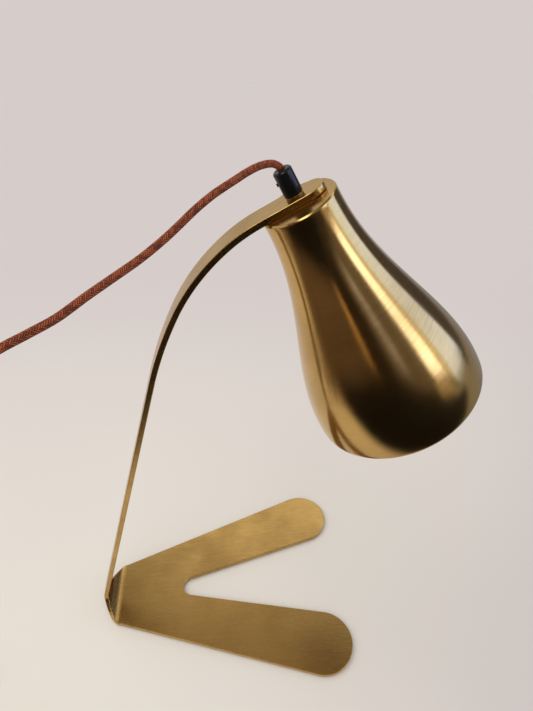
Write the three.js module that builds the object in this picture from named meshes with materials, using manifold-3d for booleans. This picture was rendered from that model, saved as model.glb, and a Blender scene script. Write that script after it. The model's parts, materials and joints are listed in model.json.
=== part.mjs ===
// Table lamp: a bent strip stand on a forked foot, carrying a spun bell shade
// that is clamped under the strip's end by a hollow threaded nipple.
// Millimetres, +Z up, +X towards the shade, lamp symmetrical about Y = 0.
import * as THREE from 'three';
import { mergeVertices } from 'three/addons/utils/BufferGeometryUtils.js';
import Module from 'manifold-3d';

const wasm = await Module();
wasm.setup();

const DEG = Math.PI / 180;

// Running and seating clearance between touching pieces
const SEAT = 0.3;

// Stand: one plate, cut as a fork, then bent up into the arm
const PLATE_T = 5.2;
const PAD_T = 1.5;
const PAD_R = 9;
const HEEL_HALF = 39;
const LEG_OUTER_ANGLE = 19.4 * DEG;
const LEG_INNER_ANGLE = 13.6 * DEG;
const CROTCH_X = 89;
const CROTCH_R = 12;
const LEG_END_X = 244;
const HEEL_BEND_R = 20;
const SHOULDER_LEN = 30;
const STRAP_W = 23;
const ARM_LEAN = 17.2 * DEG;
const ARM_STRAIGHT = 348;
const LOWER_BOW = { radius: 412, until: 27.4 * DEG };
const MIDDLE_BOW = { radius: 190, until: 49.4 * DEG };
const UPPER_BOW = { radius: 135, until: 61.9 * DEG };
const ARM_END = 53.6;
const NIPPLE_FROM_TIP = 22.6;

// Spun shade
const SHADE_TOP_R = 29.8;
const SHADE_MOUTH_R = 80;
const SHADE_LEN = 212;
const SHADE_WALL = 1.2;
const SHADE_RIM_CHAMFER = 1.2;
const SHADE_NECK_HOLD = 1.07;

// Threaded nipple and what it clamps
const NIPPLE_R = 5;
const NIPPLE_BORE_R = 3.5;
const RING_R = 6.9;
const RING_H = 0.9;
const WASHER_R = 10;
const WASHER_H = 1.2;
const NUT_FLATS = 14;
const NUT_H = 4;

// Cord grip and its clamp screw
const GRIP_R = 7.1;
const GRIP_H = 19.5;
const GRIP_THREAD_DEPTH = 8;
const GRIP_SCREW_R = 1.3;
const GRIP_SCREW_UP = 11;
const GRIP_SCREW_PROUD = 0.8;

// Lampholder for a 27 mm screw cap
const HOLDER_R = 19.5;
const HOLDER_WALL = 2;
const HOLDER_CAP_H = 21;
const HOLDER_COLLAR_R = 8.5;
const HOLDER_COLLAR_H = 5;
const HOLDER_BODY_H = 34;
const CORE_R = 17.2;
const CORE_FLOOR = 11;
const CORE_H = 29;
const SHELL_R = 14.4;
const SHELL_WALL = 0.6;
const TERMINAL = { length: 6, width: 6, height: 6, offset: 9.5 };
const TERMINAL_SCREW_R = 1.6;
const WIRE_R = 1.1;
const WIRE_SPREAD = 1.4;
const CORD_END_BELOW_NIPPLE = 2;

// Bulb
const BULB_CAP_R = 13.1;
const BULB_CAP_H = 21;
const BULB_CAP_WALL = 0.5;
const BULB_R = 30;
const BULB_GLASS_H = 88;
const BULB_GLASS_WALL = 0.9;
const BULB_NECK_R = 12.2;

// Cord, its coil and the tie round the coil
const CORD_R = 2.6;
const CORD_SIDES = 8;
const COIL_CENTRE = { x: -184.5, y: -88 };
const COIL_OUTER_R = 37.5;
const COIL_PITCH = 6.8;
const COIL_LAYER = 5.8;
const COIL_TURNS_IN = 2;
const COIL_TURNS_OUT = 1.5;
const TIE_T = 0.9;
const TIE_W = 12;

// Inline rocker switch lying on the cord
const SWITCH = { length: 60, width: 26, endWidth: 14, lowerH: 8.5, upperH: 9.5, edge: 2 };
const SWITCH_AT = { x: -158.3, y: -150 };
const CORD_IN_SWITCH_Z = 8;
const ROCKER_R = 8;
const ROCKER_W = 10;
const ROCKER_TILT = 7 * DEG;
const ROCKER_PIN_R = 1;
const ROCKER_PIN_Z = 15;
const SWITCH_SCREW = { radius: 2.2, height: 2, offset: 20 };

// Two-pin plug
const PLUG = { width: 35, height: 14, length: 34, sleeve: 20, edge: 2 };
const PLUG_SLEEVE_R = 4.6;
const PIN_R = 2;
const PIN_SPACING = 18.6;
const PIN_LEN = 19;
const PIN_ROOT = 6;

const finish = {
  brass: { color: 0x9c7436, roughness: 0.34, metalness: 1 },
  brightBrass: { color: 0xb8924c, roughness: 0.25, metalness: 1 },
  steel: { color: 0xa9abad, roughness: 0.35, metalness: 1 },
  blackPlastic: { color: 0x141416, roughness: 0.38, metalness: 0 },
  porcelain: { color: 0xe8e4da, roughness: 0.3, metalness: 0 },
  opalGlass: { color: 0xf3efe6, roughness: 0.25, metalness: 0 },
  braid: { color: 0x96502a, roughness: 0.85, metalness: 0 },
  rubber: { color: 0x26241f, roughness: 0.9, metalness: 0 },
  liveWire: { color: 0x5a3620, roughness: 0.6, metalness: 0 },
  neutralWire: { color: 0x2f5f9a, roughness: 0.6, metalness: 0 },
};

function named(name, geometry, look) {
  const mesh = new THREE.Mesh(geometry, new THREE.MeshStandardMaterial(look));
  mesh.name = name;
  return mesh;
}

// Booleans on closed meshes
function toSolid(geometry) {
  const bare = geometry.clone();
  bare.deleteAttribute('normal');
  bare.deleteAttribute('uv');
  const merged = mergeVertices(bare, 1e-5);
  return new wasm.Manifold(new wasm.Mesh({
    numProp: 3,
    vertProperties: new Float32Array(merged.attributes.position.array),
    triVerts: new Uint32Array(merged.index.array),
  }));
}

function toGeometry(solid) {
  const mesh = solid.getMesh();
  const geometry = new THREE.BufferGeometry();
  geometry.setAttribute('position', new THREE.BufferAttribute(mesh.vertProperties, 3));
  geometry.setIndex(new THREE.BufferAttribute(mesh.triVerts, 1));
  return geometry;
}

function cut(geometry, ...tools) {
  return toGeometry(tools.reduce((solid, tool) => solid.subtract(toSolid(tool)), toSolid(geometry)));
}

function join(geometry, ...others) {
  return toGeometry(others.reduce((solid, other) => solid.add(toSolid(other)), toSolid(geometry)));
}

// Solid of revolution about Z from [radius, height] corners in either order
function revolve(corners, segments = 32) {
  const closed = corners.concat([corners[0]]);
  let area = 0;
  for (let i = 0; i < corners.length; i += 1) {
    const [r0, z0] = closed[i];
    const [r1, z1] = closed[i + 1];
    area += r0 * z1 - r1 * z0;
  }
  const ordered = area > 0 ? closed : closed.slice().reverse();
  const points = ordered.map(([r, z]) => new THREE.Vector2(r, z));
  return new THREE.LatheGeometry(points, segments).rotateX(Math.PI / 2);
}

function rod(radius, height, segments = 24) {
  return new THREE.CylinderGeometry(radius, radius, height, segments).rotateX(Math.PI / 2);
}

function tube(outer, inner, bottom, top, segments = 32) {
  return revolve([[inner, bottom], [outer, bottom], [outer, top], [inner, top]], segments);
}

function block(x, y, z) {
  return new THREE.BoxGeometry(x, y, z);
}

function slab(shape, height, edge = 0, curveSegments = 12) {
  const settings = {
    depth: height - 2 * edge,
    bevelEnabled: edge > 0,
    bevelThickness: edge,
    bevelSize: edge,
    bevelOffset: -edge,
    bevelSegments: 2,
    curveSegments,
  };
  return new THREE.ExtrudeGeometry(shape, settings).translate(0, 0, edge);
}

function cordSection(radius, sides = CORD_SIDES) {
  const section = new THREE.Shape();
  for (let i = 0; i < sides; i += 1) {
    const angle = (2 * Math.PI * i) / sides;
    const move = i === 0 ? 'moveTo' : 'lineTo';
    section[move](radius * Math.cos(angle), radius * Math.sin(angle));
  }
  section.closePath();
  return section;
}

function cordAlong(points, radius, steps, sides = CORD_SIDES) {
  const route = new THREE.CatmullRomCurve3(points.map((p) => new THREE.Vector3(...p)), false, 'centripetal');
  return new THREE.ExtrudeGeometry(cordSection(radius, sides), { steps, extrudePath: route });
}

// Stand

// Centre line of the bent strip in the XZ plane, from the heel's bend line to the tip.
// Heading is measured from +X towards +Z; every bend turns towards the shade.
function stripStations() {
  const middleR = HEEL_BEND_R - PLATE_T / 2;
  const stations = [];
  let x = 0;
  let z = PAD_T + PLATE_T / 2;
  let heading = Math.PI;
  let along = 0;
  const note = () => stations.push({ x, z, heading, along });
  const straight = (length, steps) => {
    for (let i = 0; i < steps; i += 1) {
      x += (Math.cos(heading) * length) / steps;
      z += (Math.sin(heading) * length) / steps;
      along += length / steps;
      note();
    }
  };
  const bend = (radius, leanAfter, steps) => {
    const turn = (heading - (Math.PI / 2 - leanAfter)) / steps;
    for (let i = 0; i < steps; i += 1) {
      const chord = 2 * radius * Math.sin(turn / 2);
      x += Math.cos(heading - turn / 2) * chord;
      z += Math.sin(heading - turn / 2) * chord;
      heading -= turn;
      along += radius * turn;
      note();
    }
  };
  note();
  bend(middleR, ARM_LEAN, 14);
  straight(ARM_STRAIGHT, 1);
  bend(LOWER_BOW.radius, LOWER_BOW.until, 6);
  bend(MIDDLE_BOW.radius, MIDDLE_BOW.until, 10);
  bend(UPPER_BOW.radius, UPPER_BOW.until, 6);
  straight(ARM_END - STRAP_W / 2, 1);
  straight(STRAP_W / 2, 10);
  return stations;
}

const STATIONS = stripStations();
const TIP = STATIONS[STATIONS.length - 1];

// Half width of the strip: wide at the heel, shoulders, then strap, then a round end
function stripHalfWidth(along) {
  const half = STRAP_W / 2;
  const toTip = TIP.along - along;
  if (toTip < half) {
    return Math.sqrt(Math.max(half ** 2 - (half - toTip) ** 2, 0.01));
  }
  if (along < SHOULDER_LEN) {
    const fade = 0.5 + 0.5 * Math.cos((Math.PI * along) / SHOULDER_LEN);
    return half + (HEEL_HALF - half) * fade;
  }
  return half;
}

// Closed strip: one rectangle per station, joined ring to ring and capped
function bentStrip() {
  const heel = { ...STATIONS[0], x: STATIONS[0].x + PLATE_T, along: 0 };
  const rows = [heel, ...STATIONS];
  const position = [];
  for (const { x, z, heading, along } of rows) {
    const outX = -Math.sin(heading) * (PLATE_T / 2);
    const outZ = Math.cos(heading) * (PLATE_T / 2);
    const half = stripHalfWidth(along);
    position.push(x + outX, -half, z + outZ, x + outX, half, z + outZ);
    position.push(x - outX, half, z - outZ, x - outX, -half, z - outZ);
  }
  const index = [0, 1, 2, 0, 2, 3];
  for (let row = 0; row < rows.length - 1; row += 1) {
    for (let side = 0; side < 4; side += 1) {
      const a = row * 4 + side;
      const b = row * 4 + ((side + 1) % 4);
      index.push(a, a + 4, b + 4, a, b + 4, b);
    }
  }
  const last = (rows.length - 1) * 4;
  index.push(last, last + 2, last + 1, last, last + 3, last + 2);
  const geometry = new THREE.BufferGeometry();
  geometry.setAttribute('position', new THREE.Float32BufferAttribute(position, 3));
  geometry.setIndex(index);
  return geometry;
}

// Round leg end, tangent to the leg's outer and inner edges
function legEnd() {
  const outerY = HEEL_HALF + LEG_END_X * Math.tan(LEG_OUTER_ANGLE);
  const innerY = CROTCH_R / Math.cos(LEG_INNER_ANGLE) + (LEG_END_X - CROTCH_X) * Math.tan(LEG_INNER_ANGLE);
  const radius = (outerY - innerY) / (1 / Math.cos(LEG_OUTER_ANGLE) + 1 / Math.cos(LEG_INNER_ANGLE));
  return { x: LEG_END_X, y: outerY - radius / Math.cos(LEG_OUTER_ANGLE), radius };
}

function forkedFoot() {
  const end = legEnd();
  const outline = new THREE.Shape();
  const outer = Math.PI / 2 + LEG_OUTER_ANGLE;
  const inner = -Math.PI / 2 + LEG_INNER_ANGLE;
  const crotch = Math.PI / 2 + LEG_INNER_ANGLE;
  outline.moveTo(0, HEEL_HALF);
  outline.lineTo(0, -HEEL_HALF);
  outline.absarc(end.x, -end.y, end.radius, -outer, -inner, false);
  outline.absarc(CROTCH_X, 0, CROTCH_R, -crotch, crotch, true);
  outline.absarc(end.x, end.y, end.radius, inner, outer, false);
  return slab(outline, PLATE_T, 0, 20).translate(0, 0, PAD_T);
}

// The nipple's axis stands square to the strip's end
const HEAD_TILT = UPPER_BOW.until - Math.PI / 2;
const HEAD_FOOT = new THREE.Vector3(
  TIP.x - NIPPLE_FROM_TIP * Math.cos(TIP.heading),
  0,
  TIP.z - NIPPLE_FROM_TIP * Math.sin(TIP.heading),
);

function standPlate() {
  const hole = rod(NIPPLE_R + SEAT, PLATE_T * 3).rotateY(-TIP.heading);
  hole.translate(HEAD_FOOT.x, 0, HEAD_FOOT.z);
  return cut(join(forkedFoot(), bentStrip()), hole);
}

function footPad(x, y) {
  return rod(PAD_R, PAD_T - SEAT, 32).translate(x, y, (PAD_T - SEAT) / 2);
}

// Head pieces, with Z along the nipple and 0 at the middle of the strip's thickness
const STRIP_TOP = PLATE_T / 2;
const SHADE_TOP = -PLATE_T / 2 - SEAT;
const RING_Z = STRIP_TOP + SEAT;
const GRIP_Z = RING_Z + RING_H + SEAT;
const GRIP_TOP = GRIP_Z + GRIP_H;
const WASHER_TOP = SHADE_TOP - SHADE_WALL - SEAT;
const NUT_TOP = WASHER_TOP - WASHER_H - SEAT;
const HOLDER_TOP = NUT_TOP - NUT_H - SEAT;
const NIPPLE_TOP = GRIP_Z + GRIP_THREAD_DEPTH - SEAT;
const NIPPLE_BOTTOM = HOLDER_TOP - HOLDER_COLLAR_H - HOLDER_WALL;
const CORD_END = NIPPLE_BOTTOM - CORD_END_BELOW_NIPPLE;
const BODY_TOP = HOLDER_TOP - HOLDER_CAP_H - SEAT;
const CORE_TOP = BODY_TOP - HOLDER_WALL - SEAT;
const SHELL_TOP = CORE_TOP - CORE_FLOOR - SEAT;
const SHELL_BOTTOM = CORE_TOP - CORE_H;
const CONTACT_BOTTOM = SHELL_TOP - 2.4;

// Outside radius of the shade at a depth below its flat top
function shadeRadius(depth) {
  const t = Math.min(depth / SHADE_LEN, 1) ** SHADE_NECK_HOLD;
  return SHADE_TOP_R + (SHADE_MOUTH_R - SHADE_TOP_R) * (3 * t ** 2 - 2 * t ** 3);
}

function shade() {
  const rings = 22;
  const outside = [];
  const inside = [];
  for (let i = 0; i <= rings; i += 1) {
    const depth = SHADE_RIM_CHAMFER + ((SHADE_LEN - SHADE_RIM_CHAMFER) * i) / rings;
    outside.push([shadeRadius(depth), SHADE_TOP - depth]);
    inside.push([shadeRadius(depth) - SHADE_WALL, SHADE_TOP - Math.max(depth, SHADE_WALL)]);
  }
  const hole = NIPPLE_R + SEAT;
  const top = [[hole, SHADE_TOP], [SHADE_TOP_R - SHADE_RIM_CHAMFER, SHADE_TOP]];
  const under = [[hole, SHADE_TOP - SHADE_WALL]];
  return revolve([...top, ...outside, ...inside.reverse(), ...under], 56);
}

function lockRing() {
  const edge = 0.2;
  const top = RING_Z + RING_H;
  return revolve([
    [NIPPLE_R + SEAT, RING_Z], [RING_R, RING_Z], [RING_R, top - edge], [RING_R - edge, top],
    [NIPPLE_R + SEAT, top],
  ]);
}

function nipple() {
  return tube(NIPPLE_R, NIPPLE_BORE_R, NIPPLE_BOTTOM, NIPPLE_TOP);
}

function washer() {
  return tube(WASHER_R, NIPPLE_R + SEAT, WASHER_TOP - WASHER_H, WASHER_TOP);
}

function hexNut() {
  const acrossCorners = NUT_FLATS / Math.cos(Math.PI / 6) / 2;
  const hex = rod(acrossCorners, NUT_H, 6).translate(0, 0, NUT_TOP - NUT_H / 2);
  return cut(hex, rod(NIPPLE_R + SEAT, NUT_H * 3, 32).translate(0, 0, NUT_TOP));
}

function cordGrip() {
  const edge = 1.2;
  const cordR = CORD_R + SEAT;
  const step = GRIP_Z + GRIP_THREAD_DEPTH;
  const body = revolve([
    [NIPPLE_R + SEAT, GRIP_Z], [GRIP_R, GRIP_Z], [GRIP_R, GRIP_TOP - edge],
    [GRIP_R - edge, GRIP_TOP], [cordR, GRIP_TOP], [cordR, step], [NIPPLE_R + SEAT, step],
  ]);
  const screwHole = rod(GRIP_SCREW_R + SEAT, GRIP_R * 2, 20).rotateY(Math.PI / 2);
  return cut(body, screwHole.translate(-GRIP_R - cordR, 0, GRIP_Z + GRIP_SCREW_UP));
}

function gripScrew() {
  const inner = CORD_R + SEAT;
  const length = GRIP_R + GRIP_SCREW_PROUD - inner;
  const slot = block(1, 0.7, GRIP_SCREW_R * 3).translate(-inner - length, 0, 0);
  const body = rod(GRIP_SCREW_R, length, 20).rotateY(Math.PI / 2).translate(-inner - length / 2, 0, 0);
  return cut(body, slot).translate(0, 0, GRIP_Z + GRIP_SCREW_UP);
}

function cordInHolder() {
  return rod(CORD_R, GRIP_TOP - CORD_END, 16).translate(0, 0, (GRIP_TOP + CORD_END) / 2);
}

function holderCap() {
  const bottom = HOLDER_TOP - HOLDER_CAP_H;
  const shoulder = HOLDER_TOP - HOLDER_COLLAR_H;
  const outside = [[HOLDER_COLLAR_R, HOLDER_TOP]];
  const inside = [];
  const steps = 8;
  const domeH = HOLDER_CAP_H - HOLDER_COLLAR_H - 4;
  for (let i = 0; i <= steps; i += 1) {
    const turn = (Math.PI / 2) * (i / steps);
    const r = HOLDER_COLLAR_R + (HOLDER_R - HOLDER_COLLAR_R) * Math.sin(turn);
    const z = shoulder - domeH * (1 - Math.cos(turn));
    outside.push([r, z]);
    inside.push([Math.max(r - HOLDER_WALL, NIPPLE_R + SEAT + 1), z - HOLDER_WALL * Math.cos(turn)]);
  }
  outside.push([HOLDER_R, bottom], [HOLDER_R - HOLDER_WALL, bottom]);
  const bore = NIPPLE_R + SEAT;
  inside.reverse();
  inside.push([bore, shoulder - HOLDER_WALL], [bore, HOLDER_TOP]);
  return revolve([...outside, ...inside], 32);
}

function holderBody() {
  const inner = HOLDER_R - HOLDER_WALL;
  const bottom = BODY_TOP - HOLDER_BODY_H;
  const flange = 2;
  return revolve([
    [inner, BODY_TOP], [HOLDER_R, BODY_TOP], [HOLDER_R, BODY_TOP - 4], [HOLDER_R - 1, BODY_TOP - 5],
    [HOLDER_R - 1, bottom + 1], [HOLDER_R - 2, bottom], [SHELL_R + SEAT, bottom],
    [SHELL_R + SEAT, bottom + flange], [inner, bottom + flange],
  ]);
}

function holderCore() {
  const bore = SHELL_R + SEAT;
  const floor = CORE_TOP - CORE_FLOOR;
  const cup = revolve([
    [0, CORE_TOP], [CORE_R, CORE_TOP], [CORE_R, SHELL_BOTTOM], [bore, SHELL_BOTTOM],
    [bore, floor], [0, floor],
  ]);
  const wireWay = rod(2, CORE_FLOOR * 3, 16).translate(0, 6, CORE_TOP);
  return cut(cup, wireWay);
}

function screwShell() {
  return tube(SHELL_R, SHELL_R - SHELL_WALL, SHELL_BOTTOM, SHELL_TOP);
}

function centreContact() {
  const tongue = new THREE.Shape();
  const thick = 0.5;
  const drop = SHELL_TOP - SEAT - CONTACT_BOTTOM;
  tongue.moveTo(-9, 0);
  tongue.lineTo(-3, 0);
  tongue.lineTo(0, thick - drop);
  tongue.lineTo(5, thick - drop);
  tongue.lineTo(5, -drop);
  tongue.lineTo(-0.4, -drop);
  tongue.lineTo(-3.4, -thick);
  tongue.lineTo(-9, -thick);
  tongue.closePath();
  const width = 5;
  const strip = slab(tongue, width).rotateX(Math.PI / 2).translate(0, width / 2, 0);
  return strip.translate(0, 0, SHELL_TOP);
}

function terminalAt(side) {
  const { length, width, height, offset } = TERMINAL;
  const x = side * offset;
  const body = block(length, width, height).translate(x, 0, CORE_TOP + SEAT + height / 2);
  const wireHole = rod(WIRE_R + SEAT, height, 16).translate(x, 0, CORE_TOP + SEAT + height);
  const screwHole = rod(TERMINAL_SCREW_R + SEAT, width, 16).rotateX(Math.PI / 2);
  return cut(body, wireHole, screwHole.translate(x, -width / 2, CORE_TOP + SEAT + height / 2));
}

function terminalScrewAt(side) {
  const { width, height, offset } = TERMINAL;
  const length = width / 2;
  const screw = rod(TERMINAL_SCREW_R, length, 16).rotateX(Math.PI / 2);
  return screw.translate(side * offset, -width / 2 - SEAT, CORE_TOP + SEAT + height / 2);
}

function wireAt(side) {
  const top = CORD_END - SEAT;
  const bottom = CORE_TOP + SEAT + TERMINAL.height / 2 + SEAT;
  const near = side * WIRE_SPREAD;
  const far = side * TERMINAL.offset;
  const middle = (top + bottom) / 2 + 1;
  const points = [
    [near, 0, top], [near, 0, top - 1.5], [(near + far) / 2, 0, middle],
    [far, 0, bottom + 5], [far, 0, bottom],
  ];
  return cordAlong(points, WIRE_R, 14);
}

const BULB_TIP = CONTACT_BOTTOM - SEAT;
const BULB_CAP_TOP = BULB_TIP - 5;

function bulbContact() {
  return revolve([[0, BULB_TIP], [4, BULB_TIP], [4.8, BULB_TIP - 1], [4.8, BULB_TIP - 1.7], [0, BULB_TIP - 1.7]], 20);
}

function bulbInsulator() {
  const top = BULB_TIP - 1.7 - SEAT;
  const bottom = BULB_CAP_TOP + SEAT;
  return revolve([[0, top], [6, top], [BULB_CAP_R - 2, bottom], [0, bottom]], 28);
}

function bulbCap() {
  const wall = BULB_CAP_WALL;
  const bottom = BULB_CAP_TOP - BULB_CAP_H;
  return revolve([
    [6, BULB_CAP_TOP], [BULB_CAP_R - 1.5, BULB_CAP_TOP], [BULB_CAP_R, BULB_CAP_TOP - 1.5],
    [BULB_CAP_R, bottom], [BULB_CAP_R - wall, bottom], [BULB_CAP_R - wall, BULB_CAP_TOP - 1.7],
    [BULB_CAP_R - 1.7, BULB_CAP_TOP - wall], [6, BULB_CAP_TOP - wall],
  ], 28);
}

// Pear-shaped envelope, open at the neck where the cap closes it
function bulbGlass() {
  const top = BULB_CAP_TOP - BULB_CAP_H + 8;
  const bottom = top - BULB_GLASS_H;
  const ballZ = bottom + BULB_R;
  const outline = [[BULB_NECK_R, top], [BULB_NECK_R, top - 9]];
  const startTurn = 38 * DEG;
  const ball = 12;
  for (let i = 0; i <= ball; i += 1) {
    const turn = startTurn + ((Math.PI - startTurn) * i) / ball;
    outline.push([Math.max(BULB_R * Math.sin(turn), 0), ballZ + BULB_R * Math.cos(turn)]);
  }
  const inner = [];
  for (let i = ball; i >= 0; i -= 1) {
    const turn = startTurn + ((Math.PI - startTurn) * i) / ball;
    const r = BULB_R - BULB_GLASS_WALL;
    inner.push([Math.max(r * Math.sin(turn), 0), ballZ + r * Math.cos(turn)]);
  }
  const neck = BULB_NECK_R - BULB_GLASS_WALL;
  inner.push([neck, top - 9], [neck, top]);
  return revolve([...outline, ...inner], 28);
}

// Cord route, hand-chosen points from the grip to the switch, on to the coil and the plug
const DIRECTION_UP = new THREE.Vector3(Math.sin(HEAD_TILT), 0, Math.cos(HEAD_TILT));
const CORD_EXIT = HEAD_FOOT.clone().addScaledVector(DIRECTION_UP, GRIP_TOP + SEAT);

const DROP_POINTS = [
  [196.8, -0.7, 538.7], [193.7, -2, 540.2], [190.3, -4.4, 541], [186.2, -7.6, 541.3],
  [181.7, -11.3, 541.1], [174.2, -17.8, 539.7], [166.8, -24.2, 537.5], [159.1, -30.6, 535.2],
  [151.4, -36.7, 532.5], [140.4, -45.5, 527.2], [129.5, -53.5, 520.4], [120.7, -59.7, 515],
  [105.4, -71.1, 507.5], [91.5, -82.6, 502.8], [76.3, -95.8, 498], [61, -108.7, 492.5],
  [48.7, -118.5, 490.3], [34, -129, 487.5], [17, -140, 481], [0, -150, 469], [-15, -157, 449],
  [-27, -161.5, 422], [-37, -164.5, 385], [-46, -166, 340], [-54, -167, 290], [-60, -167, 240],
  [-65, -166, 190], [-70, -164, 140], [-76, -161, 95], [-84, -157.5, 57], [-94, -154, 30],
  [-107, -151.2, 14], [-119, -150.2, 8.8],
];

const LINK_POINTS = [
  [-194, -149.6, 7.6], [-201, -147.4, 6.6], [-208.5, -142.6, 5.6], [-215, -135.6, 4.9],
  [-219.6, -126, 4.3], [-221.6, -114, 4.1],
];

const TAIL_SAG = [[-76, 9.9], [-68, 9.8], [-60, 9.3], [-50, 7.9]];

const COIL_Z = TIE_T + 2 * SEAT + CORD_R;
const COIL_INNER_R = COIL_OUTER_R - COIL_PITCH * COIL_TURNS_IN;
const COIL_LAST_R = COIL_INNER_R + COIL_PITCH * COIL_TURNS_OUT;
const COIL_LEAD = 2 * CORD_R;

// Centre line of the coil: in along the floor, up a layer, out again on top
function coilPoints(stepsPerTurn) {
  const points = [[COIL_CENTRE.x - COIL_OUTER_R, COIL_CENTRE.y - COIL_LEAD, COIL_Z]];
  const place = (turn, radius, z) => {
    const angle = Math.PI - 2 * Math.PI * turn;
    points.push([
      COIL_CENTRE.x + radius * Math.cos(angle), COIL_CENTRE.y + radius * Math.sin(angle), z,
    ]);
  };
  const inSteps = Math.round(COIL_TURNS_IN * stepsPerTurn);
  for (let i = 0; i <= inSteps; i += 1) {
    const turn = (COIL_TURNS_IN * i) / inSteps;
    place(turn, COIL_OUTER_R - COIL_PITCH * turn, COIL_Z);
  }
  const climbSteps = stepsPerTurn / 2;
  for (let i = 1; i <= climbSteps; i += 1) {
    const rise = 0.5 - 0.5 * Math.cos((Math.PI * i) / climbSteps);
    place(COIL_TURNS_IN + (0.5 * i) / climbSteps, COIL_INNER_R, COIL_Z + COIL_LAYER * rise);
  }
  const outSteps = Math.round(COIL_TURNS_OUT * stepsPerTurn);
  for (let i = 1; i <= outSteps; i += 1) {
    const turn = (COIL_TURNS_OUT * i) / outSteps;
    place(COIL_TURNS_IN + 0.5 + turn, COIL_INNER_R + COIL_PITCH * turn, COIL_Z + COIL_LAYER);
  }
  const end = [COIL_CENTRE.x - COIL_LAST_R, COIL_CENTRE.y + COIL_LEAD, COIL_Z + COIL_LAYER];
  points.push(end);
  return points;
}

// One unbroken tube through the points, a ring of vertices at each, capped at both ends
function ringTube(points, radius, sides) {
  const centres = points.map((p) => new THREE.Vector3(...p));
  const position = [];
  const index = [];
  const up = new THREE.Vector3(0, 0, 1);
  centres.forEach((centre, i) => {
    const before = centres[Math.max(i - 1, 0)];
    const after = centres[Math.min(i + 1, centres.length - 1)];
    const heading = after.clone().sub(before).normalize();
    const across = heading.clone().cross(up).normalize();
    const lift = across.clone().cross(heading);
    for (let k = 0; k < sides; k += 1) {
      const angle = (2 * Math.PI * k) / sides;
      const vertex = centre.clone().addScaledVector(across, radius * Math.cos(angle));
      vertex.addScaledVector(lift, radius * Math.sin(angle));
      position.push(vertex.x, vertex.y, vertex.z);
    }
  });
  for (let i = 0; i < centres.length - 1; i += 1) {
    for (let k = 0; k < sides; k += 1) {
      const a = i * sides + k;
      const b = i * sides + ((k + 1) % sides);
      index.push(a, b + sides, b, a, a + sides, b + sides);
    }
  }
  const last = (centres.length - 1) * sides;
  for (let k = 1; k < sides - 1; k += 1) {
    index.push(0, k, k + 1, last, last + k + 1, last + k);
  }
  const geometry = new THREE.BufferGeometry();
  geometry.setAttribute('position', new THREE.Float32BufferAttribute(position, 3));
  geometry.setIndex(index);
  return geometry;
}

// Least distance between stretches of the coil that are not neighbours along it
function coilSelfGap() {
  const perTurn = 96;
  const points = coilPoints(perTurn).map((p) => new THREE.Vector3(...p));
  let least = Infinity;
  for (let i = 0; i < points.length; i += 1) {
    for (let j = i + perTurn / 3; j < points.length; j += 1) {
      least = Math.min(least, points[i].distanceTo(points[j]));
    }
  }
  return least - 2 * CORD_R;
}

console.log(`coil: least gap to itself ${coilSelfGap().toFixed(2)} mm`);

function cordDrop() {
  const exit = CORD_EXIT.toArray();
  const straight = CORD_EXIT.clone().addScaledVector(DIRECTION_UP, 1.2).toArray();
  const entry = [SWITCH_AT.x + SWITCH.length / 2 + SEAT, SWITCH_AT.y, CORD_IN_SWITCH_Z];
  return cordAlong([exit, straight, ...DROP_POINTS, entry], CORD_R, 80);
}

function cordLink() {
  const start = [SWITCH_AT.x - SWITCH.length / 2 - SEAT, SWITCH_AT.y, CORD_IN_SWITCH_Z];
  const x = COIL_CENTRE.x - COIL_OUTER_R;
  const end = [x, COIL_CENTRE.y - COIL_LEAD - SEAT, COIL_Z];
  return cordAlong([start, ...LINK_POINTS, [x, end[1] - 5, COIL_Z], end], CORD_R, 12);
}

const TAIL_START = [
  COIL_CENTRE.x - COIL_LAST_R, COIL_CENTRE.y + COIL_LEAD + SEAT, COIL_Z + COIL_LAYER,
];
const PLUG_AT = { x: TAIL_START[0], y: -38, z: PLUG.height / 2 };

function cordTail() {
  const end = [PLUG_AT.x, PLUG_AT.y - SEAT, PLUG_AT.z];
  const sag = TAIL_SAG.map(([y, z]) => [PLUG_AT.x, y, z]);
  return cordAlong([TAIL_START, ...sag, [end[0], end[1] - 3, end[2]], end], CORD_R, 8);
}

function coilTie() {
  const innerAtEdge = Math.sqrt((COIL_INNER_R - CORD_R) ** 2 - (TIE_W / 2) ** 2);
  const inner = COIL_CENTRE.x + innerAtEdge - SEAT;
  const outer = COIL_CENTRE.x + COIL_OUTER_R - COIL_PITCH / 2 + CORD_R + 2 * SEAT;
  const bottom = TIE_T + SEAT;
  const top = COIL_Z + COIL_LAYER + CORD_R + SEAT;
  const band = new THREE.Shape();
  const loop = (path, grow, corner) => {
    const x0 = inner - grow;
    const x1 = outer + grow;
    const z0 = bottom - grow;
    const z1 = top + grow;
    path.moveTo(x0 + corner, z0);
    path.lineTo(x1 - corner, z0);
    path.absarc(x1 - corner, z0 + corner, corner, -Math.PI / 2, 0, false);
    path.absarc(x1 - corner, z1 - corner, corner, 0, Math.PI / 2, false);
    path.absarc(x0 + corner, z1 - corner, corner, Math.PI / 2, Math.PI, false);
    path.absarc(x0 + corner, z0 + corner, corner, Math.PI, 1.5 * Math.PI, false);
  };
  loop(band, TIE_T, 1.2);
  const opening = new THREE.Path();
  loop(opening, 0, 0.3);
  band.holes.push(opening);
  const ring = slab(band, TIE_W, 0, 3).rotateX(Math.PI / 2);
  return ring.translate(0, COIL_CENTRE.y + TIE_W / 2, 0);
}

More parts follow.
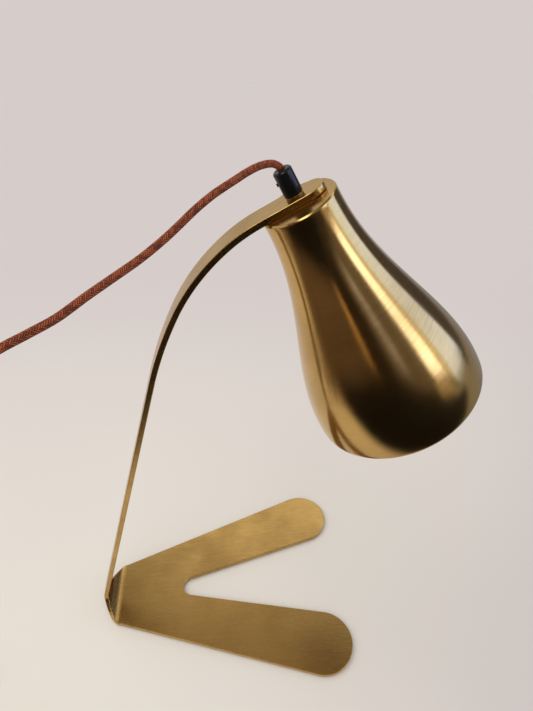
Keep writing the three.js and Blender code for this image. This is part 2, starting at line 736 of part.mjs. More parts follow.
// Inline switch, with its own frame at the middle of its underside
function switchOutline() {
  const { length, width, endWidth } = SWITCH;
  const flat = length / 5;
  const outline = new THREE.Shape();
  outline.moveTo(-length / 2, -endWidth / 2);
  outline.bezierCurveTo(-length / 3, -width / 2, -flat, -width / 2, -flat, -width / 2);
  outline.lineTo(flat, -width / 2);
  outline.bezierCurveTo(flat, -width / 2, length / 3, -width / 2, length / 2, -endWidth / 2);
  outline.lineTo(length / 2, endWidth / 2);
  outline.bezierCurveTo(length / 3, width / 2, flat, width / 2, flat, width / 2);
  outline.lineTo(-flat, width / 2);
  outline.bezierCurveTo(-flat, width / 2, -length / 3, width / 2, -length / 2, endWidth / 2);
  return outline;
}

function halfShell(height, edge) {
  const flatPart = slab(switchOutline(), height, 0, 6);
  const softPart = slab(switchOutline(), height * 2, edge, 6);
  return toGeometry(toSolid(flatPart).intersect(toSolid(softPart)));
}

function atSwitch(geometry) {
  return geometry.translate(SWITCH_AT.x, SWITCH_AT.y, 0);
}

function switchBase() {
  const { height, radius, offset } = SWITCH_SCREW;
  const sockets = [-1, 1].map((side) => rod(radius + SEAT, height * 2, 20).translate(side * offset, 0, 0));
  return atSwitch(cut(halfShell(SWITCH.lowerH, SWITCH.edge), ...sockets));
}

function switchCover() {
  const { upperH, edge } = SWITCH;
  const z0 = SWITCH.lowerH + SEAT;
  const lid = halfShell(upperH, edge).rotateX(Math.PI).translate(0, 0, z0 + upperH);
  const window = block(2 * (ROCKER_R + 0.5), ROCKER_W + 1, upperH * 3).translate(0, 0, z0);
  const pinHole = rod(ROCKER_PIN_R + SEAT, ROCKER_W + 6, 16).rotateX(Math.PI / 2).translate(0, 0, ROCKER_PIN_Z);
  return atSwitch(cut(lid, window, pinHole));
}

function rocker() {
  const profile = new THREE.Shape();
  const high = 32 * DEG;
  const low = -16 * DEG;
  profile.absarc(0, 0, ROCKER_R, low, high, false);
  profile.quadraticCurveTo(0, 1.6, -ROCKER_R * Math.cos(high), ROCKER_R * Math.sin(high));
  profile.absarc(0, 0, ROCKER_R, Math.PI - high, Math.PI - low, false);
  profile.lineTo(0, -3.2);
  profile.closePath();
  const body = slab(profile, ROCKER_W, 0, 4).rotateX(Math.PI / 2).translate(0, ROCKER_W / 2, 0);
  const bore = rod(ROCKER_PIN_R + SEAT, ROCKER_W * 2, 16).rotateX(Math.PI / 2);
  return atSwitch(cut(body, bore).rotateY(ROCKER_TILT).translate(0, 0, ROCKER_PIN_Z));
}

function rockerPin() {
  const pin = rod(ROCKER_PIN_R, ROCKER_W + 5, 16).rotateX(Math.PI / 2);
  return atSwitch(pin.translate(0, 0, ROCKER_PIN_Z));
}

function switchScrewAt(side) {
  const { radius, height, offset } = SWITCH_SCREW;
  const head = rod(radius, height - 2 * SEAT, 20).translate(side * offset, 0, height / 2);
  const slot = block(radius * 3, 0.8, 1).translate(side * offset, 0, SEAT);
  return atSwitch(cut(head, slot));
}

// Plug, with its cord entry facing -Y and its pins facing +Y
function plugBody() {
  const { width, height, length, sleeve, edge } = PLUG;
  const outline = new THREE.Shape();
  const neck = PLUG_SLEEVE_R * 1.5;
  outline.moveTo(-neck, 0);
  outline.lineTo(neck, 0);
  outline.lineTo(width / 2, length * 0.42);
  outline.lineTo(width / 2, length);
  outline.lineTo(-width / 2, length);
  outline.lineTo(-width / 2, length * 0.42);
  outline.closePath();
  const grip = slab(outline, height, edge).translate(0, sleeve, -height / 2);
  const relief = revolve([
    [0, 0], [CORD_R + 0.8, 0], [PLUG_SLEEVE_R, sleeve], [PLUG_SLEEVE_R, sleeve + 3], [0, sleeve + 3],
  ], 20).rotateX(-Math.PI / 2);
  const roots = [-1, 1].map((side) => pinAt(side, SEAT));
  return cut(join(grip, relief), ...roots).translate(PLUG_AT.x, PLUG_AT.y, PLUG_AT.z);
}

function pinAt(side, grow = 0) {
  const { length, sleeve } = PLUG;
  const start = sleeve + length - PIN_ROOT - grow;
  const end = sleeve + length + PIN_LEN;
  const round = PIN_R * 0.7;
  const r = PIN_R + grow;
  const pin = revolve([[0, start], [r, start], [r, end - round], [r * 0.55, end], [0, end]], 20);
  return pin.rotateX(-Math.PI / 2).translate((side * PIN_SPACING) / 2, 0, 0);
}

function plugPins() {
  return [-1, 1].map((side) => pinAt(side).translate(PLUG_AT.x, PLUG_AT.y, PLUG_AT.z));
}

// Assembly
const end = legEnd();
const padInset = PAD_R + 8;

const head = new THREE.Group();
head.position.copy(HEAD_FOOT);
head.rotation.y = HEAD_TILT;
head.add(named('shade', shade(), finish.brass));
head.add(named('lock_ring', lockRing(), finish.brightBrass));
head.add(named('nipple', nipple(), finish.steel));
head.add(named('cord_grip', cordGrip(), finish.blackPlastic));
head.add(named('grip_screw', gripScrew(), finish.blackPlastic));
head.add(named('shade_washer', washer(), finish.steel));
head.add(named('shade_nut', hexNut(), finish.steel));
head.add(named('cord_in_holder', cordInHolder(), finish.braid));
head.add(named('holder_cap', holderCap(), finish.blackPlastic));
head.add(named('holder_body', holderBody(), finish.blackPlastic));
head.add(named('holder_core', holderCore(), finish.porcelain));
head.add(named('holder_screw_shell', screwShell(), finish.brightBrass));
head.add(named('holder_contact', centreContact(), finish.brightBrass));
for (const [name, side] of [['live', -1], ['neutral', 1]]) {
  head.add(named(`terminal_${name}`, terminalAt(side), finish.brightBrass));
  head.add(named(`terminal_screw_${name}`, terminalScrewAt(side), finish.steel));
  head.add(named(`wire_${name}`, wireAt(side), finish[`${name}Wire`]));
}
head.add(named('bulb_contact', bulbContact(), finish.steel));
head.add(named('bulb_insulator', bulbInsulator(), finish.blackPlastic));
head.add(named('bulb_cap', bulbCap(), finish.steel));
head.add(named('bulb_glass', bulbGlass(), finish.opalGlass));

const standing = new THREE.Group();
standing.add(named('stand_plate', standPlate(), finish.brass));
standing.add(named('foot_pad_heel', footPad(padInset, 0), finish.rubber));
standing.add(named('foot_pad_near', footPad(end.x, -end.y), finish.rubber));
standing.add(named('foot_pad_far', footPad(end.x, end.y), finish.rubber));
standing.add(head);

const lead = new THREE.Group();
lead.add(named('cord_drop', cordDrop(), finish.braid));
lead.add(named('cord_link', cordLink(), finish.braid));
lead.add(named('cord_coil', ringTube(coilPoints(24), CORD_R, 6), finish.braid));
lead.add(named('cord_tail', cordTail(), finish.braid));
lead.add(named('coil_tie', coilTie(), finish.rubber));
lead.add(named('switch_base', switchBase(), finish.blackPlastic));
lead.add(named('switch_cover', switchCover(), finish.blackPlastic));
lead.add(named('switch_rocker', rocker(), finish.blackPlastic));
lead.add(named('rocker_pin', rockerPin(), finish.steel));
lead.add(named('switch_screw_inlet', switchScrewAt(1), finish.steel));
lead.add(named('switch_screw_outlet', switchScrewAt(-1), finish.steel));
lead.add(named('plug_body', plugBody(), finish.blackPlastic));
plugPins().forEach((pin, i) => lead.add(named(`plug_pin_${i + 1}`, pin, finish.brightBrass)));

// The origin goes under the middle of the lamp itself, its lead left out
const lamp = new THREE.Group();
lamp.add(standing, lead);
const middle = new THREE.Box3().setFromObject(standing, true).getCenter(new THREE.Vector3());
lamp.position.x = -middle.x;
console.log(`origin: ${middle.x.toFixed(2)} mm from the heel's bend line`);

export default lamp;
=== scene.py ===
"""Dresses the task lamp: brass stand and shade, lampholder and bulb, braided lead with switch and plug."""

import contextlib
import json
import math

import bmesh
import bpy
from mathutils import Matrix, Vector

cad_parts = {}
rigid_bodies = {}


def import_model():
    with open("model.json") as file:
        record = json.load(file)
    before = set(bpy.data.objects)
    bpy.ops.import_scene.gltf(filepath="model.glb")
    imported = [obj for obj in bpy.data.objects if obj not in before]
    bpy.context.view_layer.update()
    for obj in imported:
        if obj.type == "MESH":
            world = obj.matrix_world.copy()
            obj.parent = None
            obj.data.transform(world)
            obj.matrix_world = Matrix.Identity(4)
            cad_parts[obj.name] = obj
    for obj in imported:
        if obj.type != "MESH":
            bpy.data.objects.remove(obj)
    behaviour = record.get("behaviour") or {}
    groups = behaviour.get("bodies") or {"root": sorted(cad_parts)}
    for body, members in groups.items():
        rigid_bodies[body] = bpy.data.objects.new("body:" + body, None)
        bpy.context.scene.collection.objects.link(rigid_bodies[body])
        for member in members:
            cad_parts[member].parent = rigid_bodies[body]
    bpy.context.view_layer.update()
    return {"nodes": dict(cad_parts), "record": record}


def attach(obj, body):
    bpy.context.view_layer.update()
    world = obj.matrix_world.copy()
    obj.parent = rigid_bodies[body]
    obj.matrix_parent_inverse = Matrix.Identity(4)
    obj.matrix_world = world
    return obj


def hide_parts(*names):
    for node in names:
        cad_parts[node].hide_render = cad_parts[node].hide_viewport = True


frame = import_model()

bl_info = {
    "name": "Task Lamp Dresser",
    "version": (1, 0, 0),
    "blender": (4, 5, 0),
    "location": "3D View > Sidebar > Task Lamp",
    "description": "Builds the visible pieces and finishes of a brass task lamp round its fixed frame",
    "category": "Object",
}

MM = 0.001
DEG = math.pi / 180

# Metres: depth of the brushing's grooves, and distances within which points are merged
GROOVE_DEPTH = 0.00003
MERGE = 0.000002
COPY_MERGE = 0.000005
CUT_MERGE = 0.00001
# Degrees within which faces are one, and from which edges are eased
FLAT_WITHIN = 1.0
SHARP_FROM = 35
PLATE_SHARP_FROM = 40
CORNER_FROM = 25

# Lengths in millimetres, angles in degrees, in the same frame as the solids
SEAT = 0.3
BEND_LINE_X = -181.27

# Stand plate
PLATE_T = 5.2
PAD_T = 1.5
HEEL_HALF = 39
LEG_OUTER_ANGLE = 19.4
LEG_INNER_ANGLE = 13.6
CROTCH_X = 89
CROTCH_R = 12
LEG_END_X = 244
HEEL_BEND_R = 20
SHOULDER_LEN = 30
STRAP_W = 23
ARM_LEAN = 17.2
ARM_STRAIGHT = 348
BOWS = ((412, 27.4), (190, 49.4), (135, 61.9))
HEAD_TILT = BOWS[-1][1] - 90
ARM_END = 53.6
NIPPLE_FROM_TIP = 22.6
NIPPLE_R = 5

# Shade
SHADE_TOP_R = 29.8
SHADE_MOUTH_R = 80
SHADE_LEN = 212
SHADE_WALL = 1.2
SHADE_RIM_CHAMFER = 1.2
SHADE_NECK_HOLD = 1.07
SHADE_RINGS = 72
SHADE_SIDES = 160

# Head stack, measured along the nipple from the middle of the strap's thickness
SHADE_TOP = -PLATE_T / 2 - SEAT
RING_Z = PLATE_T / 2 + SEAT
RING_R = 6.9
RING_H = 0.9
RING_ROUND = 0.2
GRIP_R = 7.1
GRIP_H = 19.5
GRIP_CHAMFER = 1.2
GRIP_ROUND = 0.9
GRIP_Z = RING_Z + RING_H + SEAT
GRIP_TOP = GRIP_Z + GRIP_H
GRIP_THREAD_DEPTH = 8
WASHER_R = 10
WASHER_H = 1.2
WASHER_ROUND = 0.3
WASHER_TOP = SHADE_TOP - SHADE_WALL - SEAT
NUT_TOP = WASHER_TOP - WASHER_H - SEAT
NUT_H = 4
HOLDER_TOP = NUT_TOP - NUT_H - SEAT
HOLDER_R = 19.5
HOLDER_WALL = 2
HOLDER_CAP_H = 21
HOLDER_CAP_SKIRT = 4
HOLDER_COLLAR_R = 8.5
HOLDER_COLLAR_H = 5
HOLDER_BODY_H = 34
HOLDER_LIP_H = 4
HOLDER_STEP = 1
HOLDER_FLANGE = 2
HOLDER_GROOVES = 9
HOLDER_GROOVES_FROM = 9
HOLDER_GROOVE_PITCH = 2.2
HOLDER_GROOVE_DEPTH = 0.45
BODY_TOP = HOLDER_TOP - HOLDER_CAP_H - SEAT
CORE_TOP = BODY_TOP - HOLDER_WALL - SEAT
CORE_FLOOR = 11
SHELL_R = 14.4
SHELL_TOP = CORE_TOP - CORE_FLOOR - SEAT
CONTACT_DROP = 2.4
BULB_TIP = SHELL_TOP - CONTACT_DROP - SEAT
BULB_TIP_H = 5
BULB_CAP_TOP = BULB_TIP - BULB_TIP_H
BULB_CAP_R = 13.1
BULB_CAP_H = 21
BULB_CAP_WALL = 0.5
BULB_CAP_TIP_R = 6
BULB_CAP_SHOULDER = 1.2
BULB_THREADS = 5
BULB_THREADS_FROM = 2.2
BULB_THREADS_OFF = 3.2
BULB_THREAD_DEPTH = 0.8
BULB_R = 30
BULB_GLASS_H = 88
BULB_GLASS_WALL = 0.9
BULB_NECK_R = 12.2
BULB_NECK_H = 9
BULB_IN_CAP = 8

# Lead, measured from the heel's bend line
CORD_R = 2.6
EXIT_RUN = 1.2
DROP_POINTS = (
    (196.8, -0.7, 538.7), (193.7, -2, 540.2), (190.3, -4.4, 541), (186.2, -7.6, 541.3),
    (181.7, -11.3, 541.1), (174.2, -17.8, 539.7), (166.8, -24.2, 537.5), (159.1, -30.6, 535.2),
    (151.4, -36.7, 532.5), (140.4, -45.5, 527.2), (129.5, -53.5, 520.4), (120.7, -59.7, 515),
    (105.4, -71.1, 507.5), (91.5, -82.6, 502.8), (76.3, -95.8, 498), (61, -108.7, 492.5),
    (48.7, -118.5, 490.3), (34, -129, 487.5), (17, -140, 481), (0, -150, 469), (-15, -157, 449),
    (-27, -161.5, 422), (-37, -164.5, 385), (-46, -166, 340), (-54, -167, 290), (-60, -167, 240),
    (-65, -166, 190), (-70, -164, 140), (-76, -161, 95), (-84, -157.5, 57), (-94, -154, 30),
    (-107, -151.2, 14), (-119, -150.2, 8.8),
)
LINK_POINTS = (
    (-194, -149.6, 7.6), (-201, -147.4, 6.6), (-208.5, -142.6, 5.6), (-215, -135.6, 4.9),
    (-219.6, -126, 4.3), (-221.6, -114, 4.1),
)
TAIL_SAG = ((-76, 9.9), (-68, 9.8), (-60, 9.3), (-50, 7.9))
COIL_CENTRE = (-184.5, -88)
COIL_OUTER_R = 37.5
COIL_PITCH = 6.8
COIL_LAYER = 5.8
COIL_TURNS_IN = 2
COIL_TURNS_OUT = 1.5
COIL_LEAD_IN = 5
TIE_T = 0.9
COIL_Z = TIE_T + 2 * SEAT + CORD_R
COIL_INNER_R = COIL_OUTER_R - COIL_PITCH * COIL_TURNS_IN
COIL_LAST_R = COIL_INNER_R + COIL_PITCH * COIL_TURNS_OUT
SWITCH_LEN = 60
SWITCH_AT = (-158.3, -150)
CORD_IN_SWITCH_Z = 8
PLUG_Y = -38
PLUG_ENTRY = (-3, 2)
PLUG_H = 14
LEAD_SIDES = 32
LEAD_STEP = 1.2
COIL_STEPS = 24
CURVE_STEPS = 6

# Camera of the photograph: place in millimetres, angles in degrees
CAMERA_AT = (-28.37, -353.6, 641.4)
CAMERA_AZIMUTH = 5.711
CAMERA_DOWN = 36.861
CAMERA_ROLL = -0.505
FOCAL_PIXELS = 501.811
FRAME_HEIGHT = 711
SENSOR_MM = 36

# Studio. Directions in degrees: azimuth from +Y towards +X, height above level.
SUN_FROM = (-0.35, -0.15, 0.9)
SUN_LEVEL = 1.8
SUN_WIDTH = 80
SKY = (0.96, 0.97, 1.0)
SKY_LEVEL = 0.52
SUN_COLOUR = (1.0, 0.97, 0.93)
# Light that falls on the level floor from the sun and the sky, as a share of white
SUN_ON_FLOOR = SUN_LEVEL * SUN_FROM[2] / math.sqrt(sum(v * v for v in SUN_FROM)) / math.pi
FLOOR_LIGHT = [SKY_LEVEL * sky + SUN_ON_FLOOR * sun for sky, sun in zip(SKY, SUN_COLOUR)]
FLOOR_R = 4.0
BRIGHTEST = 5.0
DARK_ROOM = (0.008, 0.006, 0.005)
CEILING = (0.06, 0.055, 0.05)
UNDER_FLOOR = (0.50, 0.46, 0.41)
# Azimuths, heights, softness of the edges, colour and level of what the metal reflects
REFLECTED = (
    (-137, -100, -45, 40, 5, (1.0, 0.75, 0.60), 0.15),
    (-102, 38, -14, 52, 6, (1.0, 0.96, 0.92), 0.66),
    (-20, 14, 50, 69, 4, (1.0, 0.68, 0.38), 0.28),
    (-17, 70, 48, 60, 3.5, (1.0, 0.98, 0.92), 1.2),
    (-146, -108, 43, 63, 4, (1.0, 0.93, 0.80), 3.2),
    (134, 170, 1, 40, 4, (1.0, 0.88, 0.90), 0.20),
    (154, 164, 6, 40, 1.5, (0.62, 0.65, 1.0), 0.85),
    (44, 74, -30, 30, 4, (1.0, 0.90, 1.0), 0.10),
    (78, 114, -22, 2, 4, (0.93, 0.94, 1.0), 0.34),
    (74, 105, 1, 48, 2, (0.40, 0.53, 1.0), 3.0),
    (105, 112, 4, 48, 2, (0.75, 0.75, 0.60), 1.5),
    (112, 131, -3, 14, 4, (1.0, 0.88, 0.78), 0.5),
    (113, 130, 7.5, 48, 1.6, (0.66, 0.72, 1.0), 4.3),
)
# A thin warm gleam on a slant: azimuth less GLINT_SLANT times height stays within the band
GLINT_SLANT = 0.7
GLINT = (-166.5, -162.5, -26, 4, 1.0, (1.0, 0.66, 0.38), 2.2)
# Metres on the floor: where its pale reflection ends in front, at the left and at the right
FLOOR_FRONT = -0.295
FLOOR_LEFT_SLOPE = 0.747
FLOOR_LEFT = -0.445
FLOOR_LEFT_FAR = -0.45
FLOOR_RIGHT = 0.45
# Colours that its reflection has beyond those ends
SEEN_RIGHT = (0.30, 0.30, 0.30)
SEEN_LEFT = (0.17, 0.125, 0.10)
SEEN_FRONT = (0.009, 0.008, 0.008)


def length_setting(name, description, default, low, high):
    return bpy.props.FloatProperty(
        name=name, description=description, default=default, min=low, max=high, unit="LENGTH",
    )


class LampSizes(bpy.types.PropertyGroup):
    """Sizes of the dressing that can be changed without touching the frame"""

    edge_round: length_setting(
        "Edge rounding", "Radius that eases the stand plate's edges", 0.0007, 0.0001, 0.002,
    )
    rim_round: length_setting(
        "Rim rounding", "Radius that eases the shade's rim and top edge", 0.0004, 0.0001, 0.001,
    )
    strands: bpy.props.IntProperty(
        name="Strands", description="Strands of the braid that run each way round the lead",
        default=10, min=4, max=24,
    )
    columns: bpy.props.IntProperty(
        name="Columns", description="Columns round the lead in which one way lies on top",
        default=4, min=1, max=12,
    )
    braid_lay: length_setting(
        "Braid lay", "Length of lead in which one strand goes once round it", 0.016, 0.006, 0.05,
    )


def colour_setting(name, description, default):
    return bpy.props.FloatVectorProperty(
        name=name, description=description, subtype="COLOR", size=3, default=default, min=0, max=1,
    )


class LampColours(bpy.types.PropertyGroup):
    """Finish colours of the lamp"""

    brass: colour_setting("Brass", "Clean colour of the brushed brass", (0.66, 0.43, 0.15))
    patina: colour_setting(
        "Patina", "Darker colour where the brass has toned down", (0.46, 0.28, 0.09),
    )
    plastic: colour_setting(
        "Black plastic", "Colour of the grip, lampholder, switch and plug", (0.006, 0.006, 0.0065),
    )
    braid: colour_setting("Braid", "Main colour of the lead's braid", (0.36, 0.085, 0.028))
    # Darker strands of the braid; the same colour is also painted into the grooves between strands as shade
    fleck_and_groove_shade: colour_setting("Braid fleck and groove shade", "Darker strands in the braid", (0.07, 0.014, 0.007))
    floor: colour_setting("Near floor", "Colour of the floor round the lamp", (0.82, 0.77, 0.68))
    floor_far: colour_setting(
        "Backdrop", "Colour of the floor and the backdrop further away", (0.655, 0.60, 0.585),
    )


class Sock:
    """One value on its way through a material; arithmetic on it adds Math nodes"""

    def __init__(self, maker, socket):
        self.maker = maker
        self.socket = socket

    def maths(self, operation, *others):
        return self.maker.maths(operation, self, *others)

    def __add__(self, other):
        return self.maths("ADD", other)

    __radd__ = __add__

    def __sub__(self, other):
        return self.maths("SUBTRACT", other)

    def __rsub__(self, other):
        return self.maker.maths("SUBTRACT", other, self)

    def __mul__(self, other):
        return self.maths("MULTIPLY", other)

    __rmul__ = __mul__


class Finish:
    """Makes a node tree, one node per call"""

    def __init__(self, tree):
        self.tree = tree
        tree.nodes.clear()

    def node(self, kind, settings=None, values=None, output=0):
        made = self.tree.nodes.new(kind)
        for key, value in (settings or {}).items():
            setattr(made, key, value)
        for key, value in (values or {}).items():
            if isinstance(value, Sock):
                self.tree.links.new(value.socket, made.inputs[key])
            else:
                made.inputs[key].default_value = value
        return Sock(self, made.outputs[output]) if len(made.outputs) else None

    def maths(self, operation, *values):
        return self.node("ShaderNodeMath", {"operation": operation}, dict(enumerate(values)))

    def wave(self, value):
        """Its sine, brought between nought and one"""
        return (self.maths("SINE", value) + 1.0) * 0.5

    def objects(self):
        return self.node("ShaderNodeTexCoord", output="Object")

    def placed(self, at, turn):
        """Object coordinates read in a frame that is moved and turned on the piece"""
        return self.node(
            "ShaderNodeMapping", {"vector_type": "TEXTURE"},
            {"Vector": self.objects(), "Location": at, "Rotation": turn},
        )

    def split(self, vector):
        return [self.node("ShaderNodeSeparateXYZ", values={0: vector}, output=i) for i in range(3)]

    def joined(self, x, y, z):
        return self.node("ShaderNodeCombineXYZ", values={0: x, 1: y, 2: z})

    def noise(self, vector, scale, detail=2.0, rough=0.5):
        return self.node(
            "ShaderNodeTexNoise", {"noise_dimensions": "3D"},
            {"Vector": vector, "Scale": scale, "Detail": detail, "Roughness": rough},
        )

    def ranged(self, value, low, high, to_low=0.0, to_high=1.0):
        return self.node(
            "ShaderNodeMapRange", {"interpolation_type": "SMOOTHSTEP"},
            {"Value": value, "From Min": low, "From Max": high, "To Min": to_low, "To Max": to_high},
        )

    def edge(self, value, at, soft):
        """Nought before the edge and one past it, or the reverse where the softness is negative"""
        return self.ranged(value, at - soft, at + soft)

    def mixed(self, amount, first, second):
        """Two colours mixed: sockets 0, 6 and 7 are the node's amount and its two colours"""
        return self.node("ShaderNodeMix", {"data_type": "RGBA"}, {0: amount, 6: first, 7: second}, output=2)

    def bump(self, height, distance, strength):
        values = {"Height": height, "Distance": distance, "Strength": strength}
        return self.node("ShaderNodeBump", values=values)

    def finish(self, **sockets):
        names = {
            key.replace("_", " ").title().replace("Ior", "IOR"): value for key, value in sockets.items()
        }
        shader = self.node("ShaderNodeBsdfPrincipled", values=names)
        self.node("ShaderNodeOutputMaterial", values={"Surface": shader})


def new_material(name):
    material = bpy.data.materials.new(name)
    material.use_nodes = True
    return material, Finish(material.node_tree)


def rgba(colour, scale=1.0):
    return (colour[0] * scale, colour[1] * scale, colour[2] * scale, 1.0)


def metal(name, light, dark, grain, roughness, duller=None):
    """Brushed metal: fine grooves along the brushing, with slow patches of toning and dulling"""
    material, f = new_material(name)
    place = f.objects()
    fine = grain(f)
    coarse = f.noise(fine, 1.0, 3.0, 0.6)
    hair = f.noise(fine, 4.2, 2.0, 0.65)
    cloud = f.noise(place, 14.0, 3.0, 0.55)
    toned = f.ranged(cloud, 0.35, 0.72)
    amount = toned * 0.7 + f.ranged(coarse, 0.3, 0.7) * 0.3
    base = f.mixed(amount, rgba(light), rgba(dark))
    lines = f.mixed(f.ranged(hair, 0.30, 0.75, 0.0, 0.36), base, rgba(dark, 0.6))
    rough = f.ranged(hair, 0.2, 0.8, roughness - 0.03, roughness + 0.04)
    rough = rough + f.ranged(cloud, 0.4, 0.8, 0.0, 0.05)
    if duller:
        rough = rough + duller(f) * 0.10
    grooves = f.bump(hair + coarse * 0.2, GROOVE_DEPTH, 0.55)
    f.finish(base_color=lines, metallic=1.0, roughness=rough, normal=grooves)
    return material


def along_plate(f):
    """Brushing runs along the strip, so it changes quickly only across it"""
    x, y, z = f.split(f.objects())
    return f.joined(x * 18.0, y * 900.0, z * 18.0)


def in_head(f):
    """Coordinates along and across the head's axis, from where it crosses the strip"""
    return f.split(f.placed(tuple(head_foot()), (0, HEAD_TILT * DEG, 0)))


def round_shade(f):
    """Brushing runs round the shade, so it changes quickly only along its axis"""
    x, y, z = in_head(f)
    turn = y.maths("ARCTAN2", x)
    return f.joined(turn * 0.6, z * 1500.0, turn.maths("SINE") * 0.7)


def shade_disc(f):
    """One on the shade's flat top, nought on its sides"""
    _, _, z = in_head(f)
    return f.ranged(z, (SHADE_TOP - 0.6) * MM, (SHADE_TOP - 0.2) * MM)


def all_round(f):
    """Fine even grain for small turned parts"""
    x, y, z = f.split(f.objects())
    return f.joined(x * 260.0, y * 260.0, z * 700.0)


def plastic(name, colour, roughness, coat=0.0, gloss=0.5, tint=(1, 1, 1), grain_height=0.00001,
            mottled=1.7, scuffed=4.0):
    """Moulded or glazed: faint mottling, fine grain and a few scuffs, as shares of the colour"""
    material, f = new_material(name)
    place = f.objects()
    mottle = f.noise(place, 60.0, 3.0, 0.6)
    grain = f.noise(place, 2200.0, 2.0, 0.6)
    scuff = f.ranged(f.noise(place, 240.0, 4.0, 0.7), 0.60, 0.75)
    base = f.mixed(f.ranged(mottle, 0.35, 0.7), rgba(colour), rgba(colour, mottled))
    base = f.mixed(scuff * 0.25, base, rgba(colour, scuffed))
    rough = f.ranged(grain, 0.3, 0.7, roughness - 0.03, roughness + 0.04) + scuff * 0.12
    f.finish(
        base_color=base, roughness=rough, specular_ior_level=gloss, specular_tint=rgba(tint),
        coat_weight=coat, coat_roughness=0.08, normal=f.bump(grain, grain_height, 0.4),
    )
    return material


def braid_material(name, sizes, colours):
    """Textile braid: two families of strands crossing round the lead, read from the lead's own map"""
    material, f = new_material(name)
    around, along, _ = f.split(f.node("ShaderNodeUVMap", {"uv_map": "lead"}))
    strands = float(sizes.strands)
    wound = along * (strands / sizes.braid_lay)
    right, left = around * strands + wound, around * strands - wound
    turn = 2 * math.pi
    columns = f.wave(around * (sizes.columns * turn))
    over = columns.maths("GREATER_THAN", 0.5)
    height = over * f.wave(right * turn) + (1 - over) * f.wave(left * turn)
    height = height * f.ranged((columns - 0.5).maths("ABSOLUTE"), 0.0, 0.12, 0.4, 1.0)
    tone_right = f.noise(f.joined(right.maths("FLOOR"), 0.5, 1.5), 0.83, 0.0)
    tone_left = f.noise(f.joined(left.maths("FLOOR"), 4.5, 7.5), 0.83, 0.0)
    tone = over * tone_right + (1 - over) * tone_left
    fibre = f.noise(f.joined(right * 5.0, left * 5.0, 0.0), 1.0, 2.0, 0.7)
    base = f.mixed(f.ranged(fibre, 0.3, 0.7), rgba(colours.braid), rgba(colours.braid, 1.7))
    base = f.mixed(f.ranged(tone, 0.48, 0.62, 0.0, 0.6), base, rgba(colours.fleck_and_groove_shade))
    # Painted shade: the grooves between the strands are darkened by their depth
    base = f.mixed(f.ranged(height, 0.12, 0.66, 0.95, 0.0), base, rgba(colours.fleck_and_groove_shade, 0.5))
    f.finish(
        base_color=base, roughness=f.ranged(fibre, 0.3, 0.7, 0.62, 0.78), specular_ior_level=0.35,
        normal=f.bump(height + fibre * 0.3, 0.00025, 0.9),
    )
    return material


def woven(name, colour):
    """Coarse webbing: crossing ribs with a little fluff"""
    material, f = new_material(name)
    x, y, z = f.split(f.objects())
    warp, weft = f.wave((x + z) * 5200.0), f.wave(y * 5200.0)
    fluff = f.noise(f.objects(), 1800.0, 2.0, 0.7)
    height = warp.maths("MAXIMUM", weft) + fluff * 0.3
    # Painted shade and highlight: the weave's low parts are darker and its raised ribs lighter
    base = f.mixed(f.ranged(height, 0.5, 1.2), rgba(colour, 0.5), rgba(colour, 1.8))
    rough = f.ranged(fluff, 0.3, 0.7, 0.78, 0.92)
    f.finish(base_color=base, roughness=rough, normal=f.bump(height, 0.0002, 0.8))
    return material


def braid_end(name, colours):
    """The braid where it runs unseen through the grip, without the lead's own map"""
    material, f = new_material(name)
    x, y, z = f.split(f.objects())
    ribs = f.wave((x + y + z) * 4000.0)
    fibre = f.noise(f.objects(), 1500.0, 2.0, 0.7)
    # Painted shade: the valleys between the ribs take the darker colour
    base = f.mixed(f.ranged(ribs + fibre * 0.5, 0.2, 1.2), rgba(colours.fleck_and_groove_shade), rgba(colours.braid))
    f.finish(base_color=base, roughness=0.7, normal=f.bump(ribs, 0.0002, 0.7))
    return material


def deselect():
    for item in bpy.context.view_layer.objects:
        item.select_set(False)


def only(piece):
    deselect()
    piece.select_set(True)
    bpy.context.view_layer.objects.active = piece


@contextlib.contextmanager
def editing(piece):
    """Edit mode on one piece, with everything in it selected"""
    only(piece)
    bpy.ops.object.mode_set(mode="EDIT")
    bpy.ops.mesh.select_all(action="SELECT")
    yield
    bpy.ops.object.mode_set(mode="OBJECT")


def apply_modifier(piece, kind, **settings):
    only(piece)
    made = piece.modifiers.new(kind.lower(), kind)
    for key, value in settings.items():
        setattr(made, key, value)
    bpy.ops.object.modifier_apply(modifier=made.name)


def loop_piece(name, corners):
    """A closed loop of edges through the corners, started from a circle of as many points"""
    deselect()
    bpy.ops.mesh.primitive_circle_add(vertices=len(corners), radius=1.0)
    piece = bpy.context.active_object
    piece.name = name
    piece.data.name = name
    for vertex, corner in zip(piece.data.vertices, corners):
        vertex.co = corner
    return piece


def tidy_mesh(piece):
    """Merges points that coincide and turns all faces out"""
    with editing(piece):
        bpy.ops.mesh.remove_doubles(threshold=MERGE)
        bpy.ops.mesh.dissolve_degenerate(threshold=MERGE / 2)
        bpy.ops.mesh.select_all(action="SELECT")
        bpy.ops.mesh.normals_make_consistent(inside=False)


def finished(piece, material, node, body="lamp", smooth=35, place=None):
    """Puts the piece's place into its mesh, gives it its finish and its body, and hides the node it stands
    for
    """
    if place is not None:
        piece.matrix_world = place
    only(piece)
    bpy.ops.object.transform_apply(location=True, rotation=True, scale=True)
    bpy.ops.object.shade_smooth_by_angle(angle=smooth * DEG)
    piece.data.materials.clear()
    piece.data.materials.append(material)
    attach(piece, body)
    slot_of(node)
    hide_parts(node)


def turned(name, corners, steps=64):
    """Solid of revolution about Z: a closed wall section in millimetres, spun once round"""
    piece = loop_piece(name, [Vector((r * MM, 0, z * MM)) for r, z in corners])
    with editing(piece):
        bpy.ops.mesh.spin(steps=steps, angle=2 * math.pi, center=(0, 0, 0), axis=(0, 0, 1))
    tidy_mesh(piece)
    return piece


